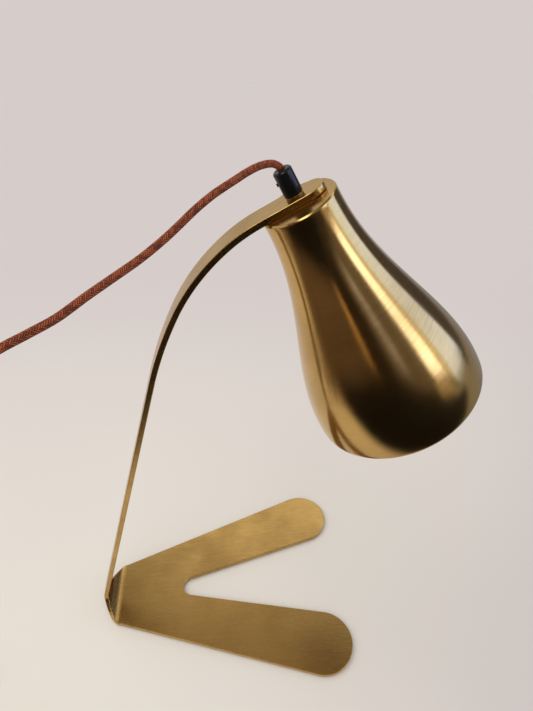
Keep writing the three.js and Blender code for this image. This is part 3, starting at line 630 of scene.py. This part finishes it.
def eased(corners, radius, steps=3):
    """Rounds the corners of a closed section by the radius, both in millimetres"""
    out = []
    count = len(corners)
    for i, here in enumerate(corners):
        before, after = corners[i - 1], corners[(i + 1) % count]
        a = Vector((before[0] - here[0], before[1] - here[1]))
        b = Vector((after[0] - here[0], after[1] - here[1]))
        if a.length < 1e-6 or b.length < 1e-6:
            out.append(here)
            continue
        bend = math.pi - a.angle(b)
        if bend < CORNER_FROM * DEG or here[0] < 1e-6:
            out.append(here)
            continue
        cut = min(radius * math.tan(bend / 2), a.length * 0.45, b.length * 0.45)
        first = Vector(here) + a.normalized() * cut
        last = Vector(here) + b.normalized() * cut
        for k in range(steps + 1):
            t = k / steps
            point = (1 - t) ** 2 * first + 2 * t * (1 - t) * Vector(here) + t**2 * last
            out.append((point.x, point.y))
    return out


def turned_ring(name, bore, radius, bottom, top, edge):
    """A flat ring with eased edges, in millimetres"""
    return turned(name, eased([(bore, bottom), (radius, bottom), (radius, top), (bore, top)], edge))


def slot_of(node):
    """The record's material slot of a node"""
    return next(sub["material_slot"] for sub in frame["record"]["subparts"] if sub["node"] == node)


def eased_copy(node, bevel, material, body="lamp"):
    """Puts a copy with eased edges, bevel in millimetres, in place of a node that has the right shape"""
    source = frame["nodes"][node]
    name = node + "_dressed"
    piece = bpy.data.objects.new(name, source.data.copy())
    piece.data.name = name
    piece.matrix_world = source.matrix_world
    bpy.context.scene.collection.objects.link(piece)
    with editing(piece):
        bpy.ops.mesh.remove_doubles(threshold=COPY_MERGE)
        bpy.ops.mesh.dissolve_limited(angle_limit=FLAT_WITHIN * DEG)
    apply_modifier(
        piece, "BEVEL", width=bevel * MM, segments=2, limit_method="ANGLE",
        angle_limit=SHARP_FROM * DEG, harden_normals=False, use_clamp_overlap=True,
    )
    apply_modifier(piece, "WEIGHTED_NORMAL", keep_sharp=True)
    finished(piece, material, node, body)


def strip_stations(fine):
    """Centre line of the bent strip: distance along it, x, z and heading"""
    x, z = BEND_LINE_X, PAD_T + PLATE_T / 2
    heading, along = math.pi, 0.0
    stations = [(along, x, z, heading)]

    def straight(length, steps):
        nonlocal x, z, along
        for _ in range(steps):
            x += math.cos(heading) * length / steps
            z += math.sin(heading) * length / steps
            along += length / steps
            stations.append((along, x, z, heading))

    def bend(radius, lean_after, steps):
        nonlocal x, z, heading, along
        turn = (heading - (90 - lean_after) * DEG) / steps
        for _ in range(steps):
            chord = 2 * radius * math.sin(turn / 2)
            x += math.cos(heading - turn / 2) * chord
            z += math.sin(heading - turn / 2) * chord
            heading -= turn
            along += radius * turn
            stations.append((along, x, z, heading))

    bend(HEEL_BEND_R - PLATE_T / 2, ARM_LEAN, 14 * fine)
    straight(ARM_STRAIGHT, 8 * fine)
    for (radius, until), steps in zip(BOWS, (6, 10, 6)):
        bend(radius, until, steps * fine)
    straight(ARM_END, 2 * fine)
    return stations


def head_foot():
    """Where the nipple's axis crosses the middle of the strip, in metres"""
    _, x, z, heading = strip_stations(1)[-1]
    return Vector((
        (x - NIPPLE_FROM_TIP * math.cos(heading)) * MM, 0, (z - NIPPLE_FROM_TIP * math.sin(heading)) * MM,
    ))


def head_place():
    return Matrix.Translation(head_foot()) @ Matrix.Rotation(HEAD_TILT * DEG, 4, "Y")


def arc(cx, cy, radius, start, stop, steps):
    return [
        (cx + radius * math.cos(start + (stop - start) * i / steps),
         cy + radius * math.sin(start + (stop - start) * i / steps))
        for i in range(steps + 1)
    ]


def flat_outline(total):
    """The stand plate before bending: the fork at negative x, the strip at positive x"""
    outer, inner = LEG_OUTER_ANGLE * DEG, LEG_INNER_ANGLE * DEG
    outer_y = HEEL_HALF + LEG_END_X * math.tan(outer)
    inner_y = CROTCH_R / math.cos(inner) + (LEG_END_X - CROTCH_X) * math.tan(inner)
    radius = (outer_y - inner_y) / (1 / math.cos(outer) + 1 / math.cos(inner))
    end_y = outer_y - radius / math.cos(outer)
    half_pi = math.pi / 2
    fork = [(0, -HEEL_HALF)]
    fork += arc(LEG_END_X, -end_y, radius, -half_pi - outer, half_pi - inner, 48)
    fork += arc(CROTCH_X, 0, CROTCH_R, -half_pi - inner + 2 * math.pi, half_pi + inner, 28)
    fork += arc(LEG_END_X, end_y, radius, -half_pi + inner, half_pi + outer, 48)
    fork += [(0, HEEL_HALF)]
    points = [(-x, y) for x, y in fork]
    half = STRAP_W / 2
    shoulder = []
    for i in range(1, 24):
        u = SHOULDER_LEN * i / 24
        shoulder.append((u, half + (HEEL_HALF - half) * (0.5 + 0.5 * math.cos(math.pi * u / SHOULDER_LEN))))
    points += shoulder + [(SHOULDER_LEN, half)]
    points += [(x, y) for x, y in reversed(arc(total - half, 0, half, -half_pi, half_pi, 40))]
    points += [(SHOULDER_LEN, -half)] + [(u, -v) for u, v in reversed(shoulder)]
    return points


def bend_plate(piece, stations):
    """Carries each point of the flat plate to its place round the bends"""
    total = stations[-1][0]
    for vertex in piece.data.vertices:
        u, v, w = vertex.co / MM
        if u <= 0:
            vertex.co = Vector((BEND_LINE_X - u, v, PAD_T + PLATE_T / 2 + w)) * MM
            continue
        u = min(u, total)
        low, high = 0, len(stations) - 1
        while high - low > 1:
            middle = (low + high) // 2
            if stations[middle][0] <= u:
                low = middle
            else:
                high = middle
        a0, x0, z0, h0 = stations[low]
        a1, x1, z1, h1 = stations[low + 1]
        t = (u - a0) / (a1 - a0)
        x, z, heading = x0 + (x1 - x0) * t, z0 + (z1 - z0) * t, h0 + (h1 - h0) * t
        # The flat plate's top faces the inside of the heel bend
        vertex.co = Vector((x + math.sin(heading) * w, v, z - math.cos(heading) * w)) * MM


class LAMP_OT_stand(bpy.types.Operator):
    """Cuts the forked plate, eases its edges and bends it up into the arm"""

    bl_idname = "lamp.stand"
    bl_label = "Stand plate"

    def execute(self, context):
        sizes = context.scene.lamp_sizes
        stations = strip_stations(2)
        outline = flat_outline(stations[-1][0])
        piece = loop_piece("stand", [Vector((x * MM, y * MM, -PLATE_T / 2 * MM)) for x, y in outline])
        with editing(piece):
            bpy.ops.mesh.edge_face_add()
            bpy.ops.mesh.extrude_region_move(TRANSFORM_OT_translate={"value": (0, 0, PLATE_T * MM)})
        tidy_mesh(piece)
        deselect()
        bpy.ops.mesh.primitive_cylinder_add(
            vertices=48, radius=(NIPPLE_R + SEAT) * MM, depth=PLATE_T * 4 * MM,
            location=((stations[-1][0] - NIPPLE_FROM_TIP) * MM, 0, 0),
        )
        drill = bpy.context.active_object
        apply_modifier(piece, "BOOLEAN", object=drill, operation="DIFFERENCE", solver="EXACT")
        bpy.data.objects.remove(drill, do_unlink=True)
        apply_modifier(
            piece, "BEVEL", width=sizes.edge_round, segments=3, limit_method="ANGLE",
            angle_limit=PLATE_SHARP_FROM * DEG,
        )
        with editing(piece):
            for along, _, _, _ in stations[:-1]:
                bpy.ops.mesh.select_all(action="SELECT")
                bpy.ops.mesh.bisect(plane_co=(along * MM, 0, 0), plane_no=(1, 0, 0), threshold=CUT_MERGE)
        bend_plate(piece, stations)
        tidy_mesh(piece)
        colours = context.scene.lamp_colours
        material = metal("brushed_brass_plate", colours.brass, colours.patina, along_plate, 0.24)
        finished(piece, material, "stand_plate", smooth=30)
        apply_modifier(piece, "WEIGHTED_NORMAL", keep_sharp=True)
        return {"FINISHED"}


def shade_radius(depth):
    """Outside radius of the shade at a depth below its flat top"""
    t = min(depth / SHADE_LEN, 1) ** SHADE_NECK_HOLD
    return SHADE_TOP_R + (SHADE_MOUTH_R - SHADE_TOP_R) * (3 * t**2 - 2 * t**3)


class LAMP_OT_shade(bpy.types.Operator):
    """Spins the bell shade with its turned rim and flat top"""

    bl_idname = "lamp.shade"
    bl_label = "Shade"

    def execute(self, context):
        outside, inside = [], []
        for i in range(SHADE_RINGS + 1):
            depth = SHADE_RIM_CHAMFER + (SHADE_LEN - SHADE_RIM_CHAMFER) * i / SHADE_RINGS
            outside.append((shade_radius(depth), SHADE_TOP - depth))
            inside.append((shade_radius(depth) - SHADE_WALL, SHADE_TOP - max(depth, SHADE_WALL)))
        hole = NIPPLE_R + SEAT
        top = [(hole, SHADE_TOP), (SHADE_TOP_R - SHADE_RIM_CHAMFER, SHADE_TOP)]
        under = [(hole, SHADE_TOP - SHADE_WALL)]
        section = eased(top + outside + inside[::-1] + under, context.scene.lamp_sizes.rim_round / MM)
        piece = turned("bell_shade", section, SHADE_SIDES)
        colours = context.scene.lamp_colours
        material = metal(
            "brushed_brass_spun", colours.brass, colours.patina, round_shade, 0.13, duller=shade_disc,
        )
        finished(piece, material, "shade", smooth=30, place=head_place())
        return {"FINISHED"}


class LAMP_OT_grip(bpy.types.Operator):
    """Turns the black cord grip and the brass ring under it"""

    bl_idname = "lamp.grip"
    bl_label = "Cord grip"

    def execute(self, context):
        colours = context.scene.lamp_colours
        place = head_place()
        bore = CORD_R + SEAT
        step = GRIP_Z + GRIP_THREAD_DEPTH
        wall = NIPPLE_R + SEAT
        section = eased([
            (wall, GRIP_Z), (GRIP_R, GRIP_Z), (GRIP_R, GRIP_TOP - GRIP_CHAMFER),
            (GRIP_R - GRIP_CHAMFER, GRIP_TOP), (bore, GRIP_TOP), (bore, step), (wall, step),
        ], GRIP_ROUND, 5)
        black = plastic("gloss_black_plastic", colours.plastic, 0.17, gloss=0.28)
        finished(turned("cord_grip_dressed", section), black, "cord_grip", place=place)
        brass = metal("bright_brass_small", colours.brass, colours.patina, all_round, 0.24)
        ring = turned_ring("lock_ring_dressed", wall, RING_R, RING_Z, RING_Z + RING_H, RING_ROUND)
        finished(ring, brass, "lock_ring", place=place)
        return {"FINISHED"}


def between(s, start, end, a, b):
    """The point at s on the straight run from a, at start, to b, at end"""
    return (end - s) / (end - start) * a + (s - start) / (end - start) * b


def smooth_line(points, steps):
    """Centripetal curve through the points, with equal steps between each two of them"""
    line = []
    ends = [2 * points[0] - points[1]] + list(points) + [2 * points[-1] - points[-2]]
    for i in range(1, len(ends) - 2):
        p = ends[i - 1:i + 3]
        t = [0.0]
        for a, b in zip(p, p[1:]):
            t.append(t[-1] + math.sqrt((b - a).length))
        for k in range(steps):
            s = t[1] + (t[2] - t[1]) * k / steps
            low = [between(s, t[j], t[j + 1], p[j], p[j + 1]) for j in range(3)]
            mid = [between(s, t[j], t[j + 2], low[j], low[j + 1]) for j in range(2)]
            line.append(between(s, t[1], t[2], mid[0], mid[1]))
    line.append(points[-1].copy())
    return line


def coil_line(per_turn):
    """In along the floor, up a layer and out again on top, in millimetres"""
    cx, cy = COIL_CENTRE
    points = []

    def place(turn, radius, z):
        angle = math.pi - 2 * math.pi * turn
        points.append(Vector((cx + radius * math.cos(angle), cy + radius * math.sin(angle), z)))

    steps = round(COIL_TURNS_IN * per_turn)
    for i in range(steps + 1):
        turn = COIL_TURNS_IN * i / steps
        place(turn, COIL_OUTER_R - COIL_PITCH * turn, COIL_Z)
    half = per_turn // 2
    for i in range(1, half + 1):
        rise = 0.5 - 0.5 * math.cos(math.pi * i / half)
        place(COIL_TURNS_IN + 0.5 * i / half, COIL_INNER_R, COIL_Z + COIL_LAYER * rise)
    steps = round(COIL_TURNS_OUT * per_turn)
    for i in range(1, steps + 1):
        turn = COIL_TURNS_OUT * i / steps
        place(COIL_TURNS_IN + 0.5 + turn, COIL_INNER_R + COIL_PITCH * turn, COIL_Z + COIL_LAYER)
    return points


def lead_line():
    """The whole lead from the grip, through the switch and the coil, to the plug, in metres"""
    foot = head_foot() / MM
    foot.x -= BEND_LINE_X
    up = Vector((math.sin(HEAD_TILT * DEG), 0, math.cos(HEAD_TILT * DEG)))
    exit_point = foot + up * (GRIP_TOP + SEAT)
    sx, sy = SWITCH_AT
    left = COIL_CENTRE[0] - COIL_OUTER_R
    tail_x = COIL_CENTRE[0] - COIL_LAST_R
    lead = 2 * CORD_R
    before = [exit_point, exit_point + up * EXIT_RUN] + [Vector(p) for p in DROP_POINTS]
    half = SWITCH_LEN / 2 + SEAT
    before += [Vector((sx + ahead, sy, CORD_IN_SWITCH_Z)) for ahead in (half, 0, -half)]
    before += [Vector(p) for p in LINK_POINTS]
    before += [
        Vector((left, COIL_CENTRE[1] - lead - SEAT - COIL_LEAD_IN, COIL_Z)),
        Vector((left, COIL_CENTRE[1] - lead, COIL_Z)),
    ]
    after = [Vector((tail_x, COIL_CENTRE[1] + lead, COIL_Z + COIL_LAYER))]
    after += [Vector((tail_x, y, z)) for y, z in TAIL_SAG]
    after += [Vector((tail_x, PLUG_Y + ahead, PLUG_H / 2)) for ahead in PLUG_ENTRY]
    line = smooth_line(before + coil_line(COIL_STEPS) + after, CURVE_STEPS)
    shift = Vector((BEND_LINE_X, 0, 0))
    return [(p + shift) * MM for p in line], (exit_point + shift) * MM


def even_line(line, spacing):
    """The same line with its points an equal distance apart"""
    out = [line[0].copy()]
    left = spacing
    for a, b in zip(line, line[1:]):
        span = (b - a).length
        done = 0.0
        while span - done >= left:
            done += left
            out.append(a.lerp(b, done / span))
            left = spacing
        left -= span - done
    if (out[-1] - line[-1]).length > spacing * 0.3:
        out.append(line[-1].copy())
    return out


def tube_along(name, line, sides, radius):
    """A closed tube round the line, with a map of turns across and metres along"""
    mesh = bpy.data.meshes.new(name)
    build = bmesh.new()
    heading = (line[1] - line[0]).normalized()
    across = heading.orthogonal().normalized()
    rings, lengths, run = [], [], 0.0
    for i, here in enumerate(line):
        ahead = (line[min(i + 1, len(line) - 1)] - line[max(i - 1, 0)]).normalized()
        across = (across - ahead * across.dot(ahead)).normalized()
        lift = ahead.cross(across)
        if i:
            run += (here - line[i - 1]).length
        lengths.append(run)
        ring = []
        for k in range(sides):
            turn = 2 * math.pi * k / sides
            ring.append(build.verts.new(here + (across * math.cos(turn) + lift * math.sin(turn)) * radius))
        rings.append(ring)
    layer = build.loops.layers.uv.new("lead")
    for i in range(len(rings) - 1):
        for k in range(sides):
            n = (k + 1) % sides
            face = build.faces.new((rings[i][k], rings[i][n], rings[i + 1][n], rings[i + 1][k]))
            face.smooth = True
            around = (k / sides, (k + 1) / sides, (k + 1) / sides, k / sides)
            along = (lengths[i], lengths[i], lengths[i + 1], lengths[i + 1])
            for loop, u, v in zip(face.loops, around, along):
                loop[layer].uv = (u, v)
    for ring, order in ((rings[0], -1), (rings[-1], 1)):
        face = build.faces.new(ring[::order])
        for loop in face.loops:
            loop[layer].uv = (0.0, lengths[0] if order < 0 else lengths[-1])
    build.to_mesh(mesh)
    build.free()
    piece = bpy.data.objects.new(name, mesh)
    bpy.context.scene.collection.objects.link(piece)
    return piece, run


class LAMP_OT_lead(bpy.types.Operator):
    """Lays the braided lead from the grip to its plug, wound in its coil"""

    bl_idname = "lamp.lead"
    bl_label = "Lead"

    def execute(self, context):
        sizes, colours = context.scene.lamp_sizes, context.scene.lamp_colours
        line, exit_point = lead_line()
        line = even_line(line, LEAD_STEP * MM)
        piece, length = tube_along("braided_lead", line, LEAD_SIDES, CORD_R * MM)
        piece.data.materials.append(braid_material("rust_braid", sizes, colours))
        braid_end("rust_braid_end", colours)
        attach(piece, "lamp")
        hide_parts("cord_drop", "cord_link", "cord_coil", "cord_tail")
        on_it = [bpy.data.objects[name + "_dressed"] for name in (
            "coil_tie", "switch_base", "switch_cover", "switch_rocker", "switch_screw_inlet",
            "switch_screw_outlet", "plug_body", "plug_pin_1", "plug_pin_2",
        )]
        on_it.append(frame["nodes"]["rocker_pin"])
        [tuple(p) for p in line[::4]] + [tuple(line[-1])]
        return {"FINISHED"}


class LAMP_OT_holder(bpy.types.Operator):
    """Makes the lampholder's cap and body, the washer, nut and grip screw, and the bulb and its cap"""

    bl_idname = "lamp.holder"
    bl_label = "Lampholder and bulb"

    def cap(self):
        """Domed cap with a collar on the nipple"""
        bottom, shoulder = HOLDER_TOP - HOLDER_CAP_H, HOLDER_TOP - HOLDER_COLLAR_H
        dome_h = HOLDER_CAP_H - HOLDER_COLLAR_H - HOLDER_CAP_SKIRT
        bore = NIPPLE_R + SEAT
        outside, inside = [(HOLDER_COLLAR_R, HOLDER_TOP)], []
        for i in range(25):
            turn = math.pi / 2 * i / 24
            r = HOLDER_COLLAR_R + (HOLDER_R - HOLDER_COLLAR_R) * math.sin(turn)
            z = shoulder - dome_h * (1 - math.cos(turn))
            outside.append((r, z))
            inside.append((max(r - HOLDER_WALL, bore + 1), z - HOLDER_WALL * math.cos(turn)))
        outside += [(HOLDER_R, bottom), (HOLDER_R - HOLDER_WALL, bottom)]
        inside = inside[::-1] + [(bore, shoulder - HOLDER_WALL), (bore, HOLDER_TOP)]
        return turned("holder_cap_dressed", eased(outside + inside, 0.35), 128)

    def body(self):
        """Skirt with turned grooves and a mouth for the screw shell"""
        inner, bottom = HOLDER_R - HOLDER_WALL, BODY_TOP - HOLDER_BODY_H
        radius, lip = HOLDER_R - HOLDER_STEP, BODY_TOP - HOLDER_LIP_H
        low = radius - HOLDER_GROOVE_DEPTH
        outside = [(inner, BODY_TOP), (HOLDER_R, BODY_TOP), (HOLDER_R, lip), (radius, lip - HOLDER_STEP)]
        for i in range(HOLDER_GROOVES):
            z = BODY_TOP - HOLDER_GROOVES_FROM - HOLDER_GROOVE_PITCH * i
            outside += [(radius, z), (low, z - 0.5), (low, z - 0.9), (radius, z - 1.4)]
        mouth, flange = SHELL_R + SEAT, bottom + HOLDER_FLANGE
        outside += [(radius, bottom + HOLDER_STEP), (radius - HOLDER_STEP, bottom)]
        inside = [(mouth, bottom), (mouth, flange), (inner, flange)]
        return turned("holder_body_dressed", eased(outside + inside, 0.3), 128)

    def bulb_cap(self):
        """Screw cap with rolled threads"""
        bottom, shoulder = BULB_CAP_TOP - BULB_CAP_H, BULB_CAP_TOP - BULB_CAP_SHOULDER
        wall, steps = BULB_CAP_WALL, 12 * BULB_THREADS
        start, stop = BULB_CAP_TOP - BULB_THREADS_FROM, bottom + BULB_THREADS_OFF
        outside = [
            (BULB_CAP_TIP_R, BULB_CAP_TOP), (BULB_CAP_R - 1.5, BULB_CAP_TOP), (BULB_CAP_R - 0.6, shoulder),
        ]
        inside = [(BULB_CAP_TIP_R, BULB_CAP_TOP - wall), (BULB_CAP_R - 1.7, BULB_CAP_TOP - wall)]
        for i in range(steps + 1):
            z = start + (stop - start) * i / steps
            wave = 1 + math.cos(2 * math.pi * BULB_THREADS * i / steps)
            r = BULB_CAP_R - BULB_THREAD_DEPTH / 2 * wave
            outside.append((r, z))
            inside.append((r - wall, z))
        outside += [(BULB_CAP_R, stop - 0.4), (BULB_CAP_R, bottom), (BULB_CAP_R - wall, bottom)]
        return turned("bulb_cap_dressed", outside + inside[::-1], 96)

    def glass(self):
        """Pear-shaped envelope with a soft run from the neck into the ball"""
        top = BULB_CAP_TOP - BULB_CAP_H + BULB_IN_CAP
        ball = top - BULB_GLASS_H + BULB_R
        neck_end = top - BULB_NECK_H

        def sphere(radius):
            return arc(0, ball, radius, math.pi / 2 - 38 * DEG, -math.pi / 2, 48)

        corners = [(BULB_NECK_R, top), (BULB_NECK_R, neck_end)] + sphere(BULB_R)
        neck = smooth_line([Vector((r, 0, z)) for r, z in corners[:3]], 10)[10:]
        outside = [(BULB_NECK_R, top)] + [(p.x, p.z) for p in neck]
        outside += [(max(r, 0), z) for r, z in corners[3:]]
        inner_r = BULB_NECK_R - BULB_GLASS_WALL
        inside = [(inner_r, top), (inner_r, neck_end)]
        inside += [(max(r, 0), z) for r, z in sphere(BULB_R - BULB_GLASS_WALL)]
        return turned("bulb_envelope", outside + inside[::-1], 96)

    def execute(self, context):
        colours = context.scene.lamp_colours
        place = head_place()
        black = plastic(
            "satin_black_plastic", colours.plastic, 0.34, gloss=0.35, tint=(1.0, 0.88, 0.74),
        )
        steel = metal("zinc_steel", (0.62, 0.62, 0.63), (0.42, 0.42, 0.43), all_round, 0.28)
        opal = plastic("opal_glass", (0.86, 0.84, 0.80), 0.14, coat=0.4, mottled=0.96, scuffed=0.97)
        finished(self.cap(), black, "holder_cap", place=place)
        finished(self.body(), black, "holder_body", place=place)
        finished(self.bulb_cap(), steel, "bulb_cap", smooth=60, place=place)
        finished(self.glass(), opal, "bulb_glass", smooth=60, place=place)
        washer = turned_ring(
            "washer_dressed", NIPPLE_R + SEAT, WASHER_R, WASHER_TOP - WASHER_H, WASHER_TOP, WASHER_ROUND,
        )
        finished(washer, steel, "shade_washer", place=place)
        eased_copy("shade_nut", 0.35, steel)
        eased_copy("grip_screw", 0.15, black)
        return {"FINISHED"}


class LAMP_OT_lead_fittings(bpy.types.Operator):
    """Eases the edges of the switch, plug, tie and pads, and gives them their finish"""

    bl_idname = "lamp.lead_fittings"
    bl_label = "Switch and plug"

    def execute(self, context):
        colours = context.scene.lamp_colours
        black = bpy.data.materials["satin_black_plastic"]
        steel = bpy.data.materials["zinc_steel"]
        brass = bpy.data.materials["bright_brass_small"]
        rocker_black = plastic("rocker_black_plastic", colours.plastic, 0.26, coat=0.2)
        rubber = plastic("black_rubber", (0.02, 0.019, 0.018), 0.75, grain_height=0.00004)
        webbing = woven("tie_webbing", (0.022, 0.021, 0.020))
        eased_copy("switch_base", 0.5, black)
        eased_copy("switch_cover", 0.5, black)
        eased_copy("switch_rocker", 0.4, rocker_black, "rocker")
        for nodes, bevel, material in (
            (("plug_body",), 0.8, black),
            (("plug_pin_1", "plug_pin_2"), 0.2, brass),
            (("switch_screw_inlet", "switch_screw_outlet"), 0.2, steel),
            (("coil_tie",), 0.25, webbing),
            (("foot_pad_heel", "foot_pad_near", "foot_pad_far"), 0.35, rubber),
        ):
            for node in nodes:
                eased_copy(node, bevel, material)
        return {"FINISHED"}


class LAMP_OT_inner_finishes(bpy.types.Operator):
    """Gives the nodes that keep their own shape their finish"""

    bl_idname = "lamp.inner_finishes"
    bl_label = "Inner finishes"

    def execute(self, context):
        finishes = {
            "bright_brass": bpy.data.materials["bright_brass_small"],
            "steel": bpy.data.materials["zinc_steel"],
            "black_plastic": bpy.data.materials["satin_black_plastic"],
            "porcelain": plastic(
                "glazed_porcelain", (0.80, 0.77, 0.70), 0.22, coat=0.4, mottled=0.94, scuffed=0.85,
            ),
            "braid": bpy.data.materials["rust_braid_end"],
            "brown_wire": plastic("brown_wire", (0.10, 0.04, 0.015), 0.5),
            "blue_wire": plastic("blue_wire", (0.03, 0.11, 0.32), 0.5),
        }
        for name, item in frame["nodes"].items():
            slot = slot_of(name)
            if slot in finishes:
                item.data.materials.clear()
                item.data.materials.append(finishes[slot])
        return {"FINISHED"}


class LAMP_OT_stage(bpy.types.Operator):
    """Sets the pale floor and backdrop, the soft lights and the photograph's camera"""

    bl_idname = "lamp.stage"
    bl_label = "Stage"

    def floor(self, colours):
        """A pale floor that fades into the backdrop's colour all round, and is seen through from below"""
        material, f = new_material("pale_floor")
        x, y, _ = f.split(f.objects())
        away = (x * x + y * y).maths("SQRT")
        near = f.ranged(y + x * 0.25, 0.9, -0.35) * f.ranged(away, 1.6, 0.5)
        base = f.mixed(near, rgba(colours.floor_far), rgba(colours.floor))
        patches = f.noise(f.objects(), 1.3, 3.0, 0.5)
        base = f.mixed(f.ranged(patches, 0.35, 0.70, 0.0, 0.3) * near, base, rgba(colours.floor_far))
        # Painted shade: towards the right and front, near the lamp, the floor darkens a little below the
        # backdrop's colour, fading out further away
        shaded = f.ranged(x - y * 0.8, 0.0, 0.6) * f.ranged(away, 2.4, 0.4)
        base = f.mixed(shaded, base, rgba(colours.floor_far, 0.93))
        # In reflections the pale floor ends a little way round the lamp
        glossy = f.node("ShaderNodeLightPath", output="Is Glossy Ray")
        for past, colour in (
            (f.edge(x, FLOOR_RIGHT, 0.12), SEEN_RIGHT),
            (f.edge(y + x * FLOOR_LEFT_SLOPE, FLOOR_LEFT, -0.05), SEEN_LEFT),
            (f.edge(y, FLOOR_FRONT, -0.06) * f.edge(x, FLOOR_LEFT_FAR, 0.1), SEEN_FRONT),
        ):
            base = f.mixed(glossy * past, base, rgba(colour))
        above = 1 - f.node("ShaderNodeNewGeometry", output="Backfacing")
        f.finish(base_color=base, roughness=0.95, specular_ior_level=0.1, alpha=above)
        deselect()
        bpy.ops.mesh.primitive_circle_add(vertices=128, radius=FLOOR_R, fill_type="NGON")
        ground = bpy.context.active_object
        ground.name = "floor"
        ground.data.materials.clear()
        ground.data.materials.append(material)

    def surroundings(self, scene):
        """Even light and a soft sun for rough surfaces, dark walls with bright bands for polished ones"""
        world = bpy.data.worlds.new("studio")
        scene.world = world
        world.use_nodes = True
        world.cycles.sampling_method = "NONE"
        w = Finish(world.node_tree)
        x, y, z = w.split(w.node("ShaderNodeTexCoord", output="Generated"))
        azimuth = x.maths("ARCTAN2", y) * (1 / DEG)
        height = z.maths("ARCSINE") * (1 / DEG)

        def band(value, low, high, soft):
            return w.edge(value, low, soft) * w.edge(value, high, -soft)

        seen = w.mixed(w.ranged(height, 10.0, 60.0), rgba(DARK_ROOM), rgba(CEILING))
        rows = [(azimuth, row) for row in REFLECTED] + [(azimuth - height * GLINT_SLANT, GLINT)]
        for across, (low, high, bottom, top, soft, colour, level) in rows:
            amount = band(across, low, high, soft) * band(height, bottom, top, soft)
            seen = w.mixed(amount, seen, rgba(colour, level / BRIGHTEST))
        seen = w.mixed(w.ranged(height, -5.0, -12.0), seen, rgba(UNDER_FLOOR, 1 / BRIGHTEST))
        polished = w.node("ShaderNodeBackground", values={"Color": seen, "Strength": BRIGHTEST})
        even = w.node("ShaderNodeBackground", values={"Color": rgba(SKY), "Strength": SKY_LEVEL})
        wall = [colour * light for colour, light in zip(scene.lamp_colours.floor_far, FLOOR_LIGHT)]
        behind = w.node("ShaderNodeBackground", values={"Color": rgba(wall)})
        shown = even
        for ray, instead in (("Is Glossy Ray", polished), ("Is Camera Ray", behind)):
            when = w.node("ShaderNodeLightPath", output=ray)
            shown = w.node("ShaderNodeMixShader", values={0: when, 1: shown, 2: instead})
        w.node("ShaderNodeOutputWorld", values={"Surface": shown})
        sun = bpy.data.lights.new("soft_sun", "SUN")
        sun.energy = SUN_LEVEL
        sun.angle = SUN_WIDTH * DEG
        sun.color = SUN_COLOUR
        item = bpy.data.objects.new("soft_sun", sun)
        scene.collection.objects.link(item)
        item.rotation_euler = Vector(SUN_FROM).to_track_quat("Z", "Y").to_euler()
        item.visible_glossy = False

    def camera(self, scene):
        data = bpy.data.cameras.new("photo_camera")
        data.sensor_width = SENSOR_MM
        data.sensor_fit = "AUTO"
        data.lens = FOCAL_PIXELS * SENSOR_MM / FRAME_HEIGHT
        data.clip_start = 0.01
        data.clip_end = 50
        camera = bpy.data.objects.new("photo_camera", data)
        scene.collection.objects.link(camera)
        turn = Matrix.Rotation(-CAMERA_AZIMUTH * DEG, 4, "Z")
        for angle, axis in ((90 - CAMERA_DOWN, "X"), (CAMERA_ROLL, "Z")):
            turn = turn @ Matrix.Rotation(angle * DEG, 4, axis)
        camera.matrix_world = Matrix.Translation(Vector(CAMERA_AT) * MM) @ turn
        scene.camera = camera

    def execute(self, context):
        scene = context.scene
        self.floor(scene.lamp_colours)
        self.surroundings(scene)
        self.camera(scene)
        scene.view_settings.view_transform = "Standard"
        return {"FINISHED"}


class LAMP_PT_panel(bpy.types.Panel):
    """Lists the steps that dress the lamp"""

    bl_label = "Task Lamp"
    bl_idname = "LAMP_PT_panel"
    bl_space_type = "VIEW_3D"
    bl_region_type = "UI"
    bl_category = "Task Lamp"

    def draw(self, context):
        for group in (context.scene.lamp_sizes, context.scene.lamp_colours):
            box = self.layout.box()
            for name in group.__annotations__:
                box.prop(group, name)
        for step in STEPS:
            self.layout.operator(step.bl_idname)


STEPS = (
    LAMP_OT_stage, LAMP_OT_stand, LAMP_OT_shade, LAMP_OT_grip, LAMP_OT_holder, LAMP_OT_lead_fittings,
    LAMP_OT_lead, LAMP_OT_inner_finishes,
)
CLASSES = (LampSizes, LampColours) + STEPS + (LAMP_PT_panel,)


def register():
    for item in CLASSES:
        bpy.utils.register_class(item)
    bpy.types.Scene.lamp_sizes = bpy.props.PointerProperty(type=LampSizes)
    bpy.types.Scene.lamp_colours = bpy.props.PointerProperty(type=LampColours)


def unregister():
    del bpy.types.Scene.lamp_colours
    del bpy.types.Scene.lamp_sizes
    for item in reversed(CLASSES):
        bpy.utils.unregister_class(item)


def main():
    register()
    for step in STEPS:
        group, name = step.bl_idname.split(".")
        getattr(getattr(bpy.ops, group), name)()


if __name__ == "__main__":
    main()
